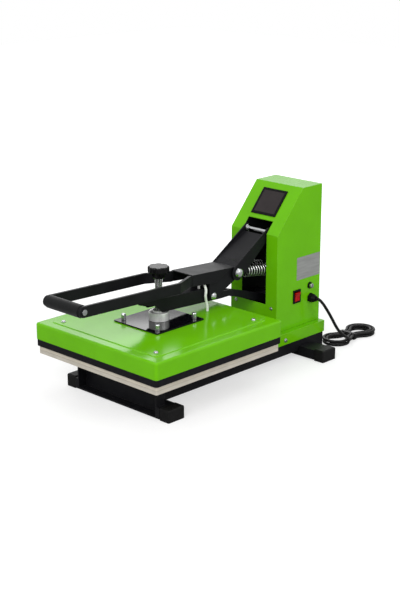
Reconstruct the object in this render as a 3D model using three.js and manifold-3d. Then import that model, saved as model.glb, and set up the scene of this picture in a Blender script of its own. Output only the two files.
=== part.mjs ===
// A clamshell heat press: a sheet-metal column on a low frame, an arm that carries the heated platen,
// and a forked hand lever that closes the arm through a toggle link.
// Millimetres, +Z up, +Y towards the column. The origin is at the middle of the footprint, on the floor.
import * as THREE from "three";
import { mergeVertices } from "three/addons/utils/BufferGeometryUtils.js";
import Module from "manifold-3d";

const wasm = await Module();
wasm.setup();

// Clearances that many pieces share
const restGap = 0.3; // between a piece and what it rests on
const holeGap = 0.4; // round a pin or bolt in its hole
const sideGap = 0.4; // between plates that slide past each other
const overrun = 2; // how far a cutting solid reaches past what it cuts
const domeRimShare = 0.35; // height of a domed bolt end's rim

// Feet and base frame
const capHeight = 30;
const capLength = 30;
const footDepth = 50;
const footHalfSpan = 140; // to the inner faces of the end caps
const capEdge = 3;
const channelFloorGap = 2; // the steel clears the floor, so the press stands on its caps
const frameSteel = 3;
const legHeight = 25; // of the cross tubes that carry the caps
const frontFootY = 65;
const rearFootY = 600;
const frontChannelDepth = 24;
const frontChannelHalfSpan = 131;
const railHalfSpan = 92;
const railFlange = 28;
const railBottom = 15;
const railTop = 70.6;
const railRearEnd = 694;
const rearTabLength = 42;
const supportSetback = 22; // in front of the lower platen's rear edge
const supportDepth = 50;
const supportHeight = 18.8;
const supportHalfSpan = 120;

// Lower platen, pad and heating platen
const lowerPlatenBottom = railTop + restGap + supportHeight + restGap;
const lowerPlatenThickness = 8.6;
const padThickness = 9.9;
const padInset = 5;
const padCorner = 4;
const platenThickness = 15.8;
const platenInset = 0.8;

// Cover over the heating platen
const coverWidth = 400;
const coverDepth = 407;
const coverHeight = 39.5;
const coverSheet = 1.5;
const coverCorner = 7;
const coverBend = 5;
const coverBendSteps = 3;
const panelBorder = 26;
const panelRise = 1.6;
const panelCorner = 10;
const insulationInset = 7;
const insulationHeadroom = 5;

// Hub, its plate and the spacer bolts
const hubPlateWidth = 144;
const hubPlateDepth = 152;
const hubPlateThickness = 3;
const hubPlateCorner = 3;
const boltSpacingX = 112;
const boltSpacingY = 118;
const boltShankRadius = 4;
const boltHeadRadius = 5.5;
const boltHeadHeight = 15;
const boltDome = 2.4;
const hubRadius = 24;
const hubHeight = 20;
const hubChamfer = 1.5;
const hubNeckRadius = 14;
const hubNeckHeight = 3;
const hubBoreDepth = 12;

// Pressure screw and knob
const screwRadius = 9;
const screwCollarHeight = 6;
const knobRadius = 25;
const knobLobeDepth = 2.6;
const knobLobes = 8;
const knobHeadHeight = 15;
const knobHeadBottom = 282.5;
const knobEdge = 2.5;
const knobNeckRadius = 15;
const knobNeckHeight = 13.5;
const knobSocketDepth = 18;

// Arm
const armWidth = 52;
const armWall = 4;
const armHeight = 33;
const armSlopeShare = 0.0586; // fall of the arm towards the column, as a share of its run
const armNoseY = 118;
const armNoseTop = 232.9;
const armNoseOutline = [ // its lower edge: back from the nose, and down from the arm's top
  { run: 0, depth: 5 },
  { run: 17, depth: 10 },
  { run: 50, depth: 15 },
  { run: 71, depth: armHeight },
];
const armChannelEnd = 386;
const armStripRun = 27;
const armStripTurnY = armChannelEnd + armStripRun;
const armStripTop = 200;
const armStripHeight = 15;
const armStripReach = 14; // behind the turn
const armTailSlopeShare = 0.353;
const armEndPlate = 7;
const tailThickness = 14;
const tailSetback = 14; // in front of the channel's end
const tailStartY = armChannelEnd - tailSetback;
const tailNoseLength = 35;
const tailNoseY = tailStartY - tailNoseLength;
const armBossRadius = 16;
const armBossEyeRadius = 20;
const armBossHalfLength = 40;
const armNutRadius = 16;
const armNutHeight = 11;
const armTailDepth = 12; // under the lever pivot

// Pivots, as places in the side view: distance behind the cover's front edge, and height
const columnFrontY = 531;
const armPivotSetback = 59; // behind the column's front
const topPivotSetback = 12;
const armPivot = { y: columnFrontY + armPivotSetback, z: 140.5 };
const leverPivot = { y: 352, z: 199.5 };
const linkPivot = { y: 433, z: 241 };
const topPivot = { y: columnFrontY + topPivotSetback, z: 320.5 };
const armPivotRadius = 8;
const leverPivotRadius = 7;
const leverBoltHeadRadius = 9;
const leverBoltHeadHeight = 7;
const topPivotRadius = 4.5;
const topPivotCollarRadius = 6;
const topPivotCollar = 4;

// Lever bracket and cheeks
const bracketHalfWidth = 34;
const bracketSheet = 2.7;
const bracketFrontY = 280;
const bracketFrontTop = 265.3;
const bracketRearY = 424.5;
const bracketRearTop = 256.5;
const bracketFlangeDepth = 27;
const bracketDiagonalY = 355;
const bracketFlangeEndY = 404;
const webAngle = THREE.MathUtils.degToRad(27.7);
const knuckleRadius = 26.5;
const webKnuckleGap = 1;
const cheekThickness = 4;
const cheekHalfOuter = 31;
const cheekFrontY = 339;
const cheekLowerEyeRadius = 11;
const cheekUpperEyeRadius = 13.7;
const cheekShoulderAngle = THREE.MathUtils.degToRad(126);
const stubRadius = 7;
const stubHalfInner = 15;

// Handle bars and grip
const gripPivot = { y: -74.7, z: 264.1 };
const barHeight = 25;
const barThickness = 6;
const barHalfSpan = 60.5;
const barSlope = THREE.MathUtils.degToRad(2);
const jogStartY = 214;
const gripRadius = 14.5;
const gripEdge = 1.5;
const gripBoltRadius = 4;
const gripBoltHeadRadius = 6.5;
const gripBoltHeadHeight = 3;

// Toggle link
const linkHalfWidth = 37.2;
const linkSheet = 2.8;
const linkLowerEyeRadius = 19;
const linkUpperEyeRadius = 11;
const webTop = { y: 533, z: 314 };
const linkBoltRadius = 8;
const linkBoltWasherRadius = 12;
const linkBoltWasher = 2;
const linkBoltDomeHeight = 8;

// Springs on their guide rods
const springCentre = 22.3;
const springRadius = 13.3; // to the middle of the wire
const springWireRadius = 1.5;
const springPitch = 8.2; // at least
const springStart = 37; // along the rod from the link pivot
const springStepsPerCurl = 8;
const springSides = 5;
const rodRadius = 4;
const rodEyeRadius = 11;
const rodEyeThickness = 7;
const rodCollarRadius = 11.5;
const rodCollar = 3;
const rodTail = 24; // length behind the anchor bar
const anchorSetback = 55; // behind the column's front
const anchorY = columnFrontY + anchorSetback;
const anchorZ = 218;
const anchorDepth = 10;
const anchorHeight = 46;
const anchorSlotHeight = 26;
const anchorSlotWidth = 13;

// Column and the skirt round its foot
const columnWidth = 151.3;
const columnSheet = 1.5;
const columnBackY = 696;
const columnTop = 423.9;
const columnBottom = 72.7;
const slopeBottomZ = 318.8;
const slopeTopY = 622.6;
const slotHalfWidth = 40;
const slotBottom = 139.5;
const slotTopY = 555.5;
const slotTopZ = 347.5;
const backPanelInset = 0.7;
const ventWidth = 60;
const ventHeight = 5;
const ventPitch = 14;
const ventBottom = 120;
const ventRows = 6;
const skirtHalfWidth = 92.3;
const skirtFrontY = 500;
const skirtBackY = 697.4;
const skirtBottom = 43.3;
const skirtTop = 72.4;
const skirtSheet = 1.4;
const skirtOpeningHalf = 60;
const skirtOpeningFront = 533;
const skirtOpeningBack = 690;

// Plates inside the column that carry the pivots
const sidePlateInner = 41;
const sidePlateThickness = 5;
const sidePlateFrontY = 533.5;
const sidePlateBackY = 640;
const sidePlateTopY = 586;
const sidePlateTopZ = 372;
const sidePlateSlopeInset = 2.2;
const floorPlateThickness = 4;
const floorPlateFront = 520;
const floorPlateBack = 680;
const floorPlateHalf = 88.4;

// Screen and electronics
const bezelWidth = 77.5;
const bezelHeight = 73.8;
const bezelProud = 2;
const bezelLip = 5;
const bezelBodyDepth = 9;
const bezelBodyInset = 4;
const bezelCentreAlong = 84; // along the slope from its lower bend
const glassBorder = 6.5;
const glassThickness = 1.4;
const boardThickness = 1.6;
const boardWidth = 62;
const boardHeight = 56;

// Rocker switch, fuse holder and cable gland in the right-hand wall
const rocker = { y: 606.4, z: 151.5 };
const rockerFlangeWidth = 28;
const rockerFlangeHeight = 34;
const rockerFlange = 2;
const rockerBodyWidth = 24;
const rockerBodyHeight = 30;
const rockerBodyDepth = 20;
const paddleWidth = 17;
const paddleHeight = 24;
const paddleGap = 0.6;
const paddleRise = 4.6;
const paddleDepth = 3;
const paddleTilt = THREE.MathUtils.degToRad(10);
const paddleAxisShare = 0.4;
const fuse = { y: 656.5, z: 170 };
const fuseFlangeRadius = 8.5;
const fuseFlange = 2;
const fuseBodyRadius = 6.5;
const fuseBodyDepth = 32;
const fuseCapRadius = 6;
const fuseCapHeight = 7;
const fuseCapSlot = 1.2;
const gland = { y: 660, z: 137 };
const glandHexRadius = 12.5;
const glandHexThickness = 6;
const glandDomeRadius = 10.5;
const glandDomeLength = 14;
const glandTipRadius = 6.5;
const glandThreadRadius = 8;
const glandInsideLength = 9;
const glandNutThickness = 4;

// Heater cable between the cover and the arm
const heaterCableRadius = 3;
const cableSides = 8;
const cableSteps = 36;
const heaterCableHole = { x: 29.6, y: 334 };
const armCableHole = { x: 13, y: 322 };

// Mains cord, its tied hank and its plug
const cordRadius = 3.75;
const cordSides = 8;
const runSteps = 18;
const tailSteps = 8;
const hankCentre = { x: 95, y: 797 };
const hankStart = -0.1; // in turns from the waist's right side
const hankEnd = 3.6;
const hankStepsPerTurn = 30;
const hankSides = 6;
const hankFoldRadius = 22.5;
const hankWaistRadius = 61;
const hankWaistAngle = THREE.MathUtils.degToRad(37.5);
const hankWaistShare = 0.22; // of each half turn, for each side of the waist
const hankClimbShare = 0.32; // of a turn
const hankGap = 1.2;
const plugAxis = { y: 735, fromX: -4 };
const plugNeckLength = 26;
const plugNeckRadius = 6;
const plugGripRadius = 14;
const plugGripLength = 18;
const plugFaceRadius = 18.5;
const plugFaceLength = 16;
const plugEdge = 2.5;
const plugPinRadius = 2.4;
const plugPinLength = 19;
const plugPinSpacing = 19;

// Heights that follow from the pieces stacked on each other
const padBottom = lowerPlatenBottom + lowerPlatenThickness + restGap;
const platenBottom = padBottom + padThickness + restGap;
const platenTop = platenBottom + platenThickness;
const coverBottom = platenTop + restGap;
const coverTop = coverBottom + coverHeight;
const hubPlateBottom = coverTop + panelRise + restGap;
const hubPlateTop = hubPlateBottom + hubPlateThickness;
const hubBottom = hubPlateTop + restGap;
const hubTop = hubBottom + hubHeight + hubNeckHeight;
const hubY = coverDepth / 2;
const screwBottom = hubTop - hubBoreDepth + restGap;
const knobNeckBottom = knobHeadBottom - knobNeckHeight;
const screwTop = knobNeckBottom + knobSocketDepth - restGap;
const columnHalf = columnWidth / 2;
const rearmostY = skirtBackY;
const frontmostY = gripPivot.y - gripRadius;
const middleY = (rearmostY + frontmostY) / 2;

// Solids from three.js geometries
const X = new THREE.Vector3(1, 0, 0);
const Y = new THREE.Vector3(0, 1, 0);
const Z = new THREE.Vector3(0, 0, 1);

function toSolid(geometry) {
  const bare = geometry.clone();
  bare.deleteAttribute("normal");
  bare.deleteAttribute("uv");
  const merged = mergeVertices(bare, 1e-4);
  return new wasm.Manifold(
    new wasm.Mesh({
      numProp: 3,
      vertProperties: new Float32Array(merged.attributes.position.array),
      triVerts: new Uint32Array(merged.index.array),
    }),
  );
}

function toGeometry(solid) {
  const mesh = solid.getMesh();
  const geometry = new THREE.BufferGeometry();
  geometry.setAttribute("position", new THREE.BufferAttribute(mesh.vertProperties, 3));
  geometry.setIndex(new THREE.BufferAttribute(mesh.triVerts, 1));
  return geometry;
}

function join(first, ...others) {
  let solid = toSolid(first);
  for (const other of others) solid = solid.add(toSolid(other));
  return toGeometry(solid);
}

function cut(first, ...tools) {
  let solid = toSolid(first);
  for (const tool of tools) solid = solid.subtract(toSolid(tool));
  return toGeometry(solid);
}

function common(first, second) {
  return toGeometry(toSolid(first).intersect(toSolid(second)));
}

// A box between two corners.
function box(x0, x1, y0, y1, z0, z1) {
  const geometry = new THREE.BoxGeometry(x1 - x0, y1 - y0, z1 - z0);
  return geometry.translate((x0 + x1) / 2, (y0 + y1) / 2, (z0 + z1) / 2);
}

// An outline in the side view (y, z), extruded across the press from x0 to x1.
function acrossX(shape, x0, x1, steps = 8) {
  const geometry = new THREE.ExtrudeGeometry(shape, { depth: x1 - x0, bevelEnabled: false, curveSegments: steps });
  geometry.applyMatrix4(new THREE.Matrix4().makeBasis(Y, Z, X));
  return geometry.translate(x0, 0, 0);
}

// An outline in the front view (x, z), extruded from y0 back to y1.
function alongY(shape, y0, y1, steps = 8) {
  const geometry = new THREE.ExtrudeGeometry(shape, { depth: y1 - y0, bevelEnabled: false, curveSegments: steps });
  geometry.applyMatrix4(new THREE.Matrix4().makeBasis(X, Z, Y.clone().negate()));
  return geometry.translate(0, y1, 0);
}

// An outline in plan (x, y), extruded from z0 up to z1.
function upwards(shape, z0, z1, steps = 8) {
  const geometry = new THREE.ExtrudeGeometry(shape, { depth: z1 - z0, bevelEnabled: false, curveSegments: steps });
  return geometry.translate(0, 0, z0);
}

// A round bar across the press through a place in the side view.
function barAcross(place, radius, x0, x1, sides = 24) {
  const geometry = new THREE.CylinderGeometry(radius, radius, x1 - x0, sides);
  return geometry.rotateZ(Math.PI / 2).translate((x0 + x1) / 2, place.y, place.z);
}

function polygon(points) {
  return new THREE.Shape(points.map(([a, b]) => new THREE.Vector2(a, b)));
}

// A turned piece: its profile is a list of [radius, height], and it stands on +Z.
function turned(profile, sides = 32) {
  const points = profile.map(([radius, height]) => new THREE.Vector2(radius, height));
  return new THREE.LatheGeometry(points, sides).rotateX(Math.PI / 2);
}

// A closed solid through rounded rectangles, given from the bottom up.
function stack(rings, stepsPerCorner = 5) {
  const positions = [];
  const index = [];
  const count = 4 * (stepsPerCorner + 1);
  for (const ring of rings) {
    for (let corner = 0; corner < 4; corner += 1) {
      const signX = corner === 0 || corner === 3 ? 1 : -1;
      const signY = corner < 2 ? 1 : -1;
      for (let step = 0; step <= stepsPerCorner; step += 1) {
        const angle = (corner + step / stepsPerCorner) * (Math.PI / 2);
        const x = ring.x + signX * (ring.halfX - ring.radius) + ring.radius * Math.cos(angle);
        const y = ring.y + signY * (ring.halfY - ring.radius) + ring.radius * Math.sin(angle);
        positions.push(x, y, ring.z);
      }
    }
  }
  for (let level = 0; level + 1 < rings.length; level += 1) {
    for (let i = 0; i < count; i += 1) {
      const a = level * count + i;
      const b = level * count + ((i + 1) % count);
      index.push(a, b, b + count, a, b + count, a + count);
    }
  }
  const last = (rings.length - 1) * count;
  for (let i = 1; i + 1 < count; i += 1) {
    index.push(0, i + 1, i);
    index.push(last, last + i, last + i + 1);
  }
  const geometry = new THREE.BufferGeometry();
  geometry.setAttribute("position", new THREE.Float32BufferAttribute(positions, 3));
  geometry.setIndex(index);
  return geometry;
}

function slab(x, y, halfX, halfY, radius, z0, z1) {
  return stack([
    { x, y, halfX, halfY, radius, z: z0 },
    { x, y, halfX, halfY, radius, z: z1 },
  ]);
}

// A round tube along a smooth curve through hand-chosen points.
function tubeThrough(points, radius, sides, steps) {
  const section = new THREE.Shape();
  for (let side = 0; side < sides; side += 1) {
    const angle = (side / sides) * 2 * Math.PI;
    const place = [radius * Math.cos(angle), radius * Math.sin(angle)];
    if (side === 0) section.moveTo(...place);
    else section.lineTo(...place);
  }
  section.closePath();
  const path = new THREE.CatmullRomCurve3(points, false, "centripetal");
  return new THREE.ExtrudeGeometry(section, { steps, bevelEnabled: false, extrudePath: path });
}

// One unbroken wound tube: a ring of points square to the path at each place on it, and flat ends.
function woundTube(points, radius, sides) {
  const positions = [];
  const index = [];
  const across = new THREE.Vector3();
  points.forEach((point, i) => {
    const before = points[Math.max(i - 1, 0)];
    const after = points[Math.min(i + 1, points.length - 1)];
    const tangent = after.clone().sub(before).normalize();
    if (i === 0) across.crossVectors(tangent, Math.abs(tangent.z) < Math.SQRT1_2 ? Z : X);
    across.addScaledVector(tangent, -across.dot(tangent)).normalize();
    const third = tangent.clone().cross(across);
    for (let side = 0; side < sides; side += 1) {
      const angle = (side / sides) * 2 * Math.PI;
      const offset = across.clone().multiplyScalar(radius * Math.cos(angle));
      offset.addScaledVector(third, radius * Math.sin(angle));
      positions.push(...point.clone().add(offset).toArray());
    }
  });
  for (let ring = 0; ring + 1 < points.length; ring += 1) {
    for (let side = 0; side < sides; side += 1) {
      const a = ring * sides + side;
      const b = ring * sides + ((side + 1) % sides);
      index.push(a, b, b + sides, a, b + sides, a + sides);
    }
  }
  const last = (points.length - 1) * sides;
  for (let side = 1; side + 1 < sides; side += 1) {
    index.push(0, side + 1, side);
    index.push(last, last + side, last + side + 1);
  }
  const geometry = new THREE.BufferGeometry();
  geometry.setAttribute("position", new THREE.Float32BufferAttribute(positions, 3));
  geometry.setIndex(index);
  return geometry;
}

// Both ends of a wound tube run on straight for one tube diameter.
function straightEnds(points, radius) {
  const runOn = (end, inner) => end.clone().addScaledVector(end.clone().sub(inner).normalize(), 2 * radius);
  const last = points.length - 1;
  return [runOn(points[0], points[1]), ...points, runOn(points[last], points[last - 1])];
}

// The least gap between stretches of a wound tube that are more than half a turn apart.
function leastGap(points, radius, stepsPerTurn) {
  let least = Infinity;
  for (let i = 0; i < points.length; i += 1) {
    for (let j = i + Math.ceil(stepsPerTurn / 2); j < points.length; j += 1) {
      least = Math.min(least, points[i].distanceTo(points[j]));
    }
  }
  return least - 2 * radius;
}

// Finishes, each as colour, roughness and metalness
const finishes = {
  limePaint: [0x6cc417, 0.22, 0.0],
  blackPaint: [0x17181a, 0.35, 0.1],
  glossBlack: [0x0d0d12, 0.12, 0.1],
  bareSteel: [0xb9bcc0, 0.3, 0.9],
  chrome: [0xd4d6da, 0.12, 1.0],
  alloy: [0xc9cac6, 0.35, 0.8],
  silicone: [0xd8d2c2, 0.75, 0.0],
  rubber: [0x151515, 0.8, 0.0],
  plastic: [0x111113, 0.45, 0.0],
  redPlastic: [0xd01616, 0.3, 0.0],
  screen: [0x2a262b, 0.15, 0.0],
  board: [0x1d5a36, 0.6, 0.0],
  felt: [0xc9bfa6, 0.95, 0.0],
  sleeve: [0xe8e6df, 0.7, 0.0],
};

const press = new THREE.Group();
press.position.y = -middleY;

function add(name, geometry, finish, parent = press) {
  const [color, roughness, metalness] = finishes[finish];
  const mesh = new THREE.Mesh(geometry, new THREE.MeshStandardMaterial({ color, roughness, metalness }));
  mesh.name = name;
  parent.add(mesh);
  return mesh;
}

// Places and lines in the side view
const armTopAt = (y) => armNoseTop - armSlopeShare * (y - armNoseY);
const tailTopAt = (y) => armStripTop - armTailSlopeShare * (y - armStripTurnY);
const along = (place, angle, distance) => ({
  y: place.y + distance * Math.cos(angle),
  z: place.z + distance * Math.sin(angle),
});
const slopeAngle = Math.atan2(columnTop - slopeBottomZ, slopeTopY - columnFrontY);

// The outline that wraps two eyes, with the straight side on the left of the way from a to b, and then its return.
function strap(a, radiusA, b, radiusB) {
  const dy = b.y - a.y;
  const dz = b.z - a.z;
  const heading = Math.atan2(dz, dy);
  const lean = Math.acos((radiusA - radiusB) / Math.hypot(dy, dz));
  const shape = new THREE.Shape();
  shape.absarc(a.y, a.z, radiusA, heading + lean, heading - lean + 2 * Math.PI, false);
  shape.absarc(b.y, b.z, radiusB, heading - lean, heading + lean, false);
  shape.closePath();
  return shape;
}

// Feet and base frame
function footCap(side, y0) {
  const inner = footHalfSpan + restGap;
  const centre = side * (inner + capLength / 2);
  const halfX = capLength / 2;
  const halfY = footDepth / 2;
  const y = y0 + halfY;
  return stack(
    [
      { x: centre, y, halfX, halfY, radius: capEdge, z: 0 },
      { x: centre, y, halfX, halfY, radius: capEdge, z: capHeight - capEdge },
      { x: centre, y, halfX: halfX - capEdge / 3, halfY: halfY - capEdge / 3, radius: capEdge, z: capHeight - capEdge / 3 },
      { x: centre, y, halfX: halfX - capEdge, halfY: halfY - capEdge, radius: capEdge / 2, z: capHeight },
    ],
    3,
  );
}

function frontChannel() {
  const front = frontFootY;
  const web = front + frontChannelDepth;
  const bottom = channelFloorGap;
  const top = lowerPlatenBottom - restGap;
  const section = polygon([
    [front, bottom],
    [web + frameSteel, bottom],
    [web + frameSteel, top],
    [front, top],
    [front, top - frameSteel],
    [web, top - frameSteel],
    [web, bottom + frameSteel],
    [front, bottom + frameSteel],
  ]);
  const body = acrossX(section, -frontChannelHalfSpan, frontChannelHalfSpan);
  const end = (side) => {
    const outer = side * frontChannelHalfSpan;
    const inner = side * (frontChannelHalfSpan - frameSteel);
    return box(Math.min(outer, inner), Math.max(outer, inner), front, web + frameSteel, bottom, top);
  };
  const stub = (side) => {
    const inner = side * (frontChannelHalfSpan - frameSteel);
    const outer = side * footHalfSpan;
    return box(Math.min(inner, outer), Math.max(inner, outer), front, front + footDepth, bottom, bottom + legHeight);
  };
  const legHalf = frontChannelHalfSpan - frameSteel / 2;
  const leg = cut(
    box(-legHalf, legHalf, web, front + footDepth, bottom, bottom + legHeight),
    box(
      -legHalf + frameSteel,
      legHalf - frameSteel,
      web + frameSteel,
      front + footDepth - frameSteel,
      bottom - overrun,
      bottom + legHeight - frameSteel,
    ),
  );
  return join(body, leg, end(-1), end(1), stub(-1), stub(1));
}

function rearTube() {
  const top = channelFloorGap + legHeight;
  const outer = box(-footHalfSpan, footHalfSpan, rearFootY, rearFootY + footDepth, channelFloorGap, top);
  const inner = box(
    -footHalfSpan - overrun,
    footHalfSpan + overrun,
    rearFootY + frameSteel,
    rearFootY + footDepth - frameSteel,
    channelFloorGap + frameSteel,
    top - frameSteel,
  );
  return cut(outer, inner);
}

function rail(side) {
  const outer = railHalfSpan;
  const web = outer - frameSteel;
  const lip = outer - railFlange;
  const section = polygon(
    [
      [outer, railBottom],
      [outer, railTop],
      [lip, railTop],
      [lip, railTop - frameSteel],
      [web, railTop - frameSteel],
      [web, railBottom + frameSteel],
      [lip, railBottom + frameSteel],
      [lip, railBottom],
    ].map(([x, z]) => [side * x, z]),
  );
  const start = frontFootY + frontChannelDepth + frameSteel + restGap;
  const body = alongY(section, start, railRearEnd);
  const notch = (footY) =>
    box(
      -outer - overrun,
      outer + overrun,
      footY - restGap,
      footY + footDepth + restGap,
      railBottom - overrun,
      channelFloorGap + legHeight + restGap,
    );
  const x0 = Math.min(side * web, side * outer);
  const x1 = Math.max(side * web, side * outer);
  const tab = box(x0, x1, railRearEnd - rearTabLength, railRearEnd, channelFloorGap, railBottom + frameSteel);
  return join(cut(body, notch(frontFootY), notch(rearFootY)), tab);
}

function platenSupport() {
  const z0 = railTop + restGap;
  const z1 = z0 + supportHeight;
  const y1 = coverDepth - padInset - supportSetback;
  const y0 = y1 - supportDepth;
  const section = polygon([
    [y0, z0],
    [y0 + frameSteel, z0],
    [y0 + frameSteel, z1 - frameSteel],
    [y1 - frameSteel, z1 - frameSteel],
    [y1 - frameSteel, z0],
    [y1, z0],
    [y1, z1],
    [y0, z1],
  ]);
  return acrossX(section, -supportHalfSpan, supportHalfSpan);
}

add("foot_cap_front_left", footCap(-1, frontFootY), "rubber");
add("foot_cap_front_right", footCap(1, frontFootY), "rubber");
add("foot_cap_rear_left", footCap(-1, rearFootY), "rubber");
add("foot_cap_rear_right", footCap(1, rearFootY), "rubber");
add("front_cross_channel", frontChannel(), "blackPaint");
add("rear_cross_tube", rearTube(), "blackPaint");
add("base_rail_left", rail(-1), "blackPaint");
add("base_rail_right", rail(1), "blackPaint");
add("platen_support", platenSupport(), "blackPaint");
add(
  "frame_floor_plate",
  box(
    -floorPlateHalf,
    floorPlateHalf,
    floorPlateFront,
    floorPlateBack,
    railTop - frameSteel - restGap - floorPlateThickness,
    railTop - frameSteel - restGap,
  ),
  "blackPaint",
);

// Lower platen and pad
const halfWidth = coverWidth / 2;
const halfDepth = coverDepth / 2;
const padHalfX = halfWidth - padInset;
const padHalfY = halfDepth - padInset;
add(
  "lower_platen",
  slab(0, hubY, padHalfX, padHalfY, padCorner, lowerPlatenBottom, lowerPlatenBottom + lowerPlatenThickness),
  "alloy",
);
add("silicone_pad", slab(0, hubY, padHalfX, padHalfY, padCorner, padBottom, padBottom + padThickness), "silicone");

// Heating platen and its cover
const boltPlaces = [
  [-1, -1],
  [1, -1],
  [1, 1],
  [-1, 1],
].map(([sx, sy]) => ({ x: (sx * boltSpacingX) / 2, y: hubY + (sy * boltSpacingY) / 2 }));

function uprightPin(place, radius, z0, z1, sides = 16) {
  const geometry = new THREE.CylinderGeometry(radius, radius, z1 - z0, sides).rotateX(Math.PI / 2);
  return geometry.translate(place.x, place.y, (z0 + z1) / 2);
}

function boltHoles(z0, z1) {
  return boltPlaces.map((place) => uprightPin(place, boltShankRadius + holeGap, z0 - overrun, z1 + overrun));
}

// The rings of the cover's walls and bent edge, drawn in by the sheet's thickness for its inside.
function coverRings(sheet, bottom) {
  const ringAt = (inset, z) => ({
    x: 0,
    y: hubY,
    halfX: halfWidth - inset,
    halfY: halfDepth - inset,
    radius: coverCorner - inset,
    z,
  });
  const rings = [ringAt(sheet, bottom)];
  const bend = coverBend - sheet;
  for (let step = 0; step <= coverBendSteps; step += 1) {
    const angle = (step / coverBendSteps) * (Math.PI / 2);
    rings.push(ringAt(sheet + bend * (1 - Math.cos(angle)), coverTop - coverBend + bend * Math.sin(angle)));
  }
  return rings;
}

function topCover() {
  const panel = (inset, radius, z) => ({
    x: 0,
    y: hubY,
    halfX: halfWidth - panelBorder - inset,
    halfY: halfDepth - panelBorder - inset,
    radius,
    z,
  });
  const outside = coverRings(0, coverBottom);
  outside.push(panel(0, panelCorner, coverTop));
  outside.push(panel(panelRise, panelCorner - panelRise, coverTop + panelRise));
  const inside = coverRings(coverSheet, coverBottom - overrun);
  const cableHole = uprightPin(
    heaterCableHole,
    heaterCableRadius + holeGap,
    coverTop - coverSheet - overrun,
    coverTop + panelRise + overrun,
  );
  return cut(stack(outside), stack(inside), cableHole, ...boltHoles(coverBottom, coverTop + panelRise));
}

function insulation() {
  const z0 = platenTop + restGap;
  const z1 = coverTop - coverSheet - insulationHeadroom;
  const block = slab(
    0,
    hubY,
    halfWidth - insulationInset,
    halfDepth - insulationInset,
    coverCorner - insulationInset / 2,
    z0,
    z1,
  );
  const cableHole = uprightPin(heaterCableHole, heaterCableRadius + holeGap, z0 - overrun, z1 + overrun);
  return cut(block, cableHole, ...boltHoles(z0, z1));
}

add(
  "heating_platen",
  slab(0, hubY, halfWidth - platenInset, halfDepth - platenInset, coverCorner, platenBottom, platenTop),
  "blackPaint",
);
add("insulation_blanket", insulation(), "felt");
add("top_cover", topCover(), "limePaint");

// Hub plate, hub and spacer bolts
add(
  "hub_plate",
  cut(
    slab(0, hubY, hubPlateWidth / 2, hubPlateDepth / 2, hubPlateCorner, hubPlateBottom, hubPlateTop),
    ...boltHoles(hubPlateBottom, hubPlateTop),
  ),
  "glossBlack",
);

boltPlaces.forEach((place, i) => {
  const seat = hubPlateTop + restGap;
  const top = seat + boltHeadHeight;
  const bolt = turned(
    [
      [0, platenTop + restGap],
      [boltShankRadius, platenTop + restGap],
      [boltShankRadius, seat],
      [boltHeadRadius, seat],
      [boltHeadRadius, top - boltDome],
      [boltHeadRadius - boltDome / 3, top - boltDome / 3],
      [boltHeadRadius - boltDome, top],
      [0, top],
    ],
    16,
  );
  add(`spacer_bolt_${i + 1}`, bolt.translate(place.x, place.y, 0), "bareSteel");
});

function hub() {
  const disc = hubBottom + hubHeight;
  const bore = screwRadius + holeGap;
  const profile = [
    [0, hubBottom],
    [hubRadius, hubBottom],
    [hubRadius, disc - hubChamfer],
    [hubRadius - hubChamfer, disc],
    [hubNeckRadius, disc],
    [hubNeckRadius, hubTop],
    [bore, hubTop],
    [bore, hubTop - hubBoreDepth],
    [0, hubTop - hubBoreDepth],
  ];
  return turned(profile, 40).translate(0, hubY, 0);
}
add("platen_hub", hub(), "alloy");

// Pressure screw and knob
const screwProfile = [
  [0, screwBottom],
  [screwRadius, screwBottom],
  [screwRadius, knobNeckBottom - restGap - screwCollarHeight],
  [screwRadius + hubChamfer, knobNeckBottom - restGap - screwCollarHeight],
  [screwRadius + hubChamfer, knobNeckBottom - restGap],
  [screwRadius, knobNeckBottom - restGap],
  [screwRadius, screwTop],
  [0, screwTop],
];
add("pressure_screw", turned(screwProfile, 28).translate(0, hubY, 0), "bareSteel");

function knob() {
  const steps = knobLobes * 8;
  const outline = [];
  for (let i = 0; i < steps; i += 1) {
    const angle = (i / steps) * 2 * Math.PI;
    const dip = (0.5 - 0.5 * Math.cos(knobLobes * angle)) ** 2;
    const radius = knobRadius - knobEdge - knobLobeDepth * dip;
    outline.push([radius * Math.cos(angle), radius * Math.sin(angle)]);
  }
  const head = new THREE.ExtrudeGeometry(polygon(outline), {
    depth: knobHeadHeight - 2 * knobEdge,
    bevelEnabled: true,
    bevelThickness: knobEdge,
    bevelSize: knobEdge,
    bevelSegments: 2,
  }).translate(0, 0, knobHeadBottom + knobEdge);
  const neck = turned(
    [
      [0, knobNeckBottom],
      [knobNeckRadius - knobEdge, knobNeckBottom],
      [knobNeckRadius, knobNeckBottom + knobEdge],
      [knobNeckRadius, knobHeadBottom + knobEdge],
      [0, knobHeadBottom + knobEdge],
    ],
    32,
  );
  const socket = uprightPin({ x: 0, y: 0 }, screwRadius + holeGap, knobNeckBottom - overrun, screwTop + restGap, 28);
  return cut(join(head, neck), socket).translate(0, hubY, 0);
}
add("pressure_knob", knob(), "plastic");

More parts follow.
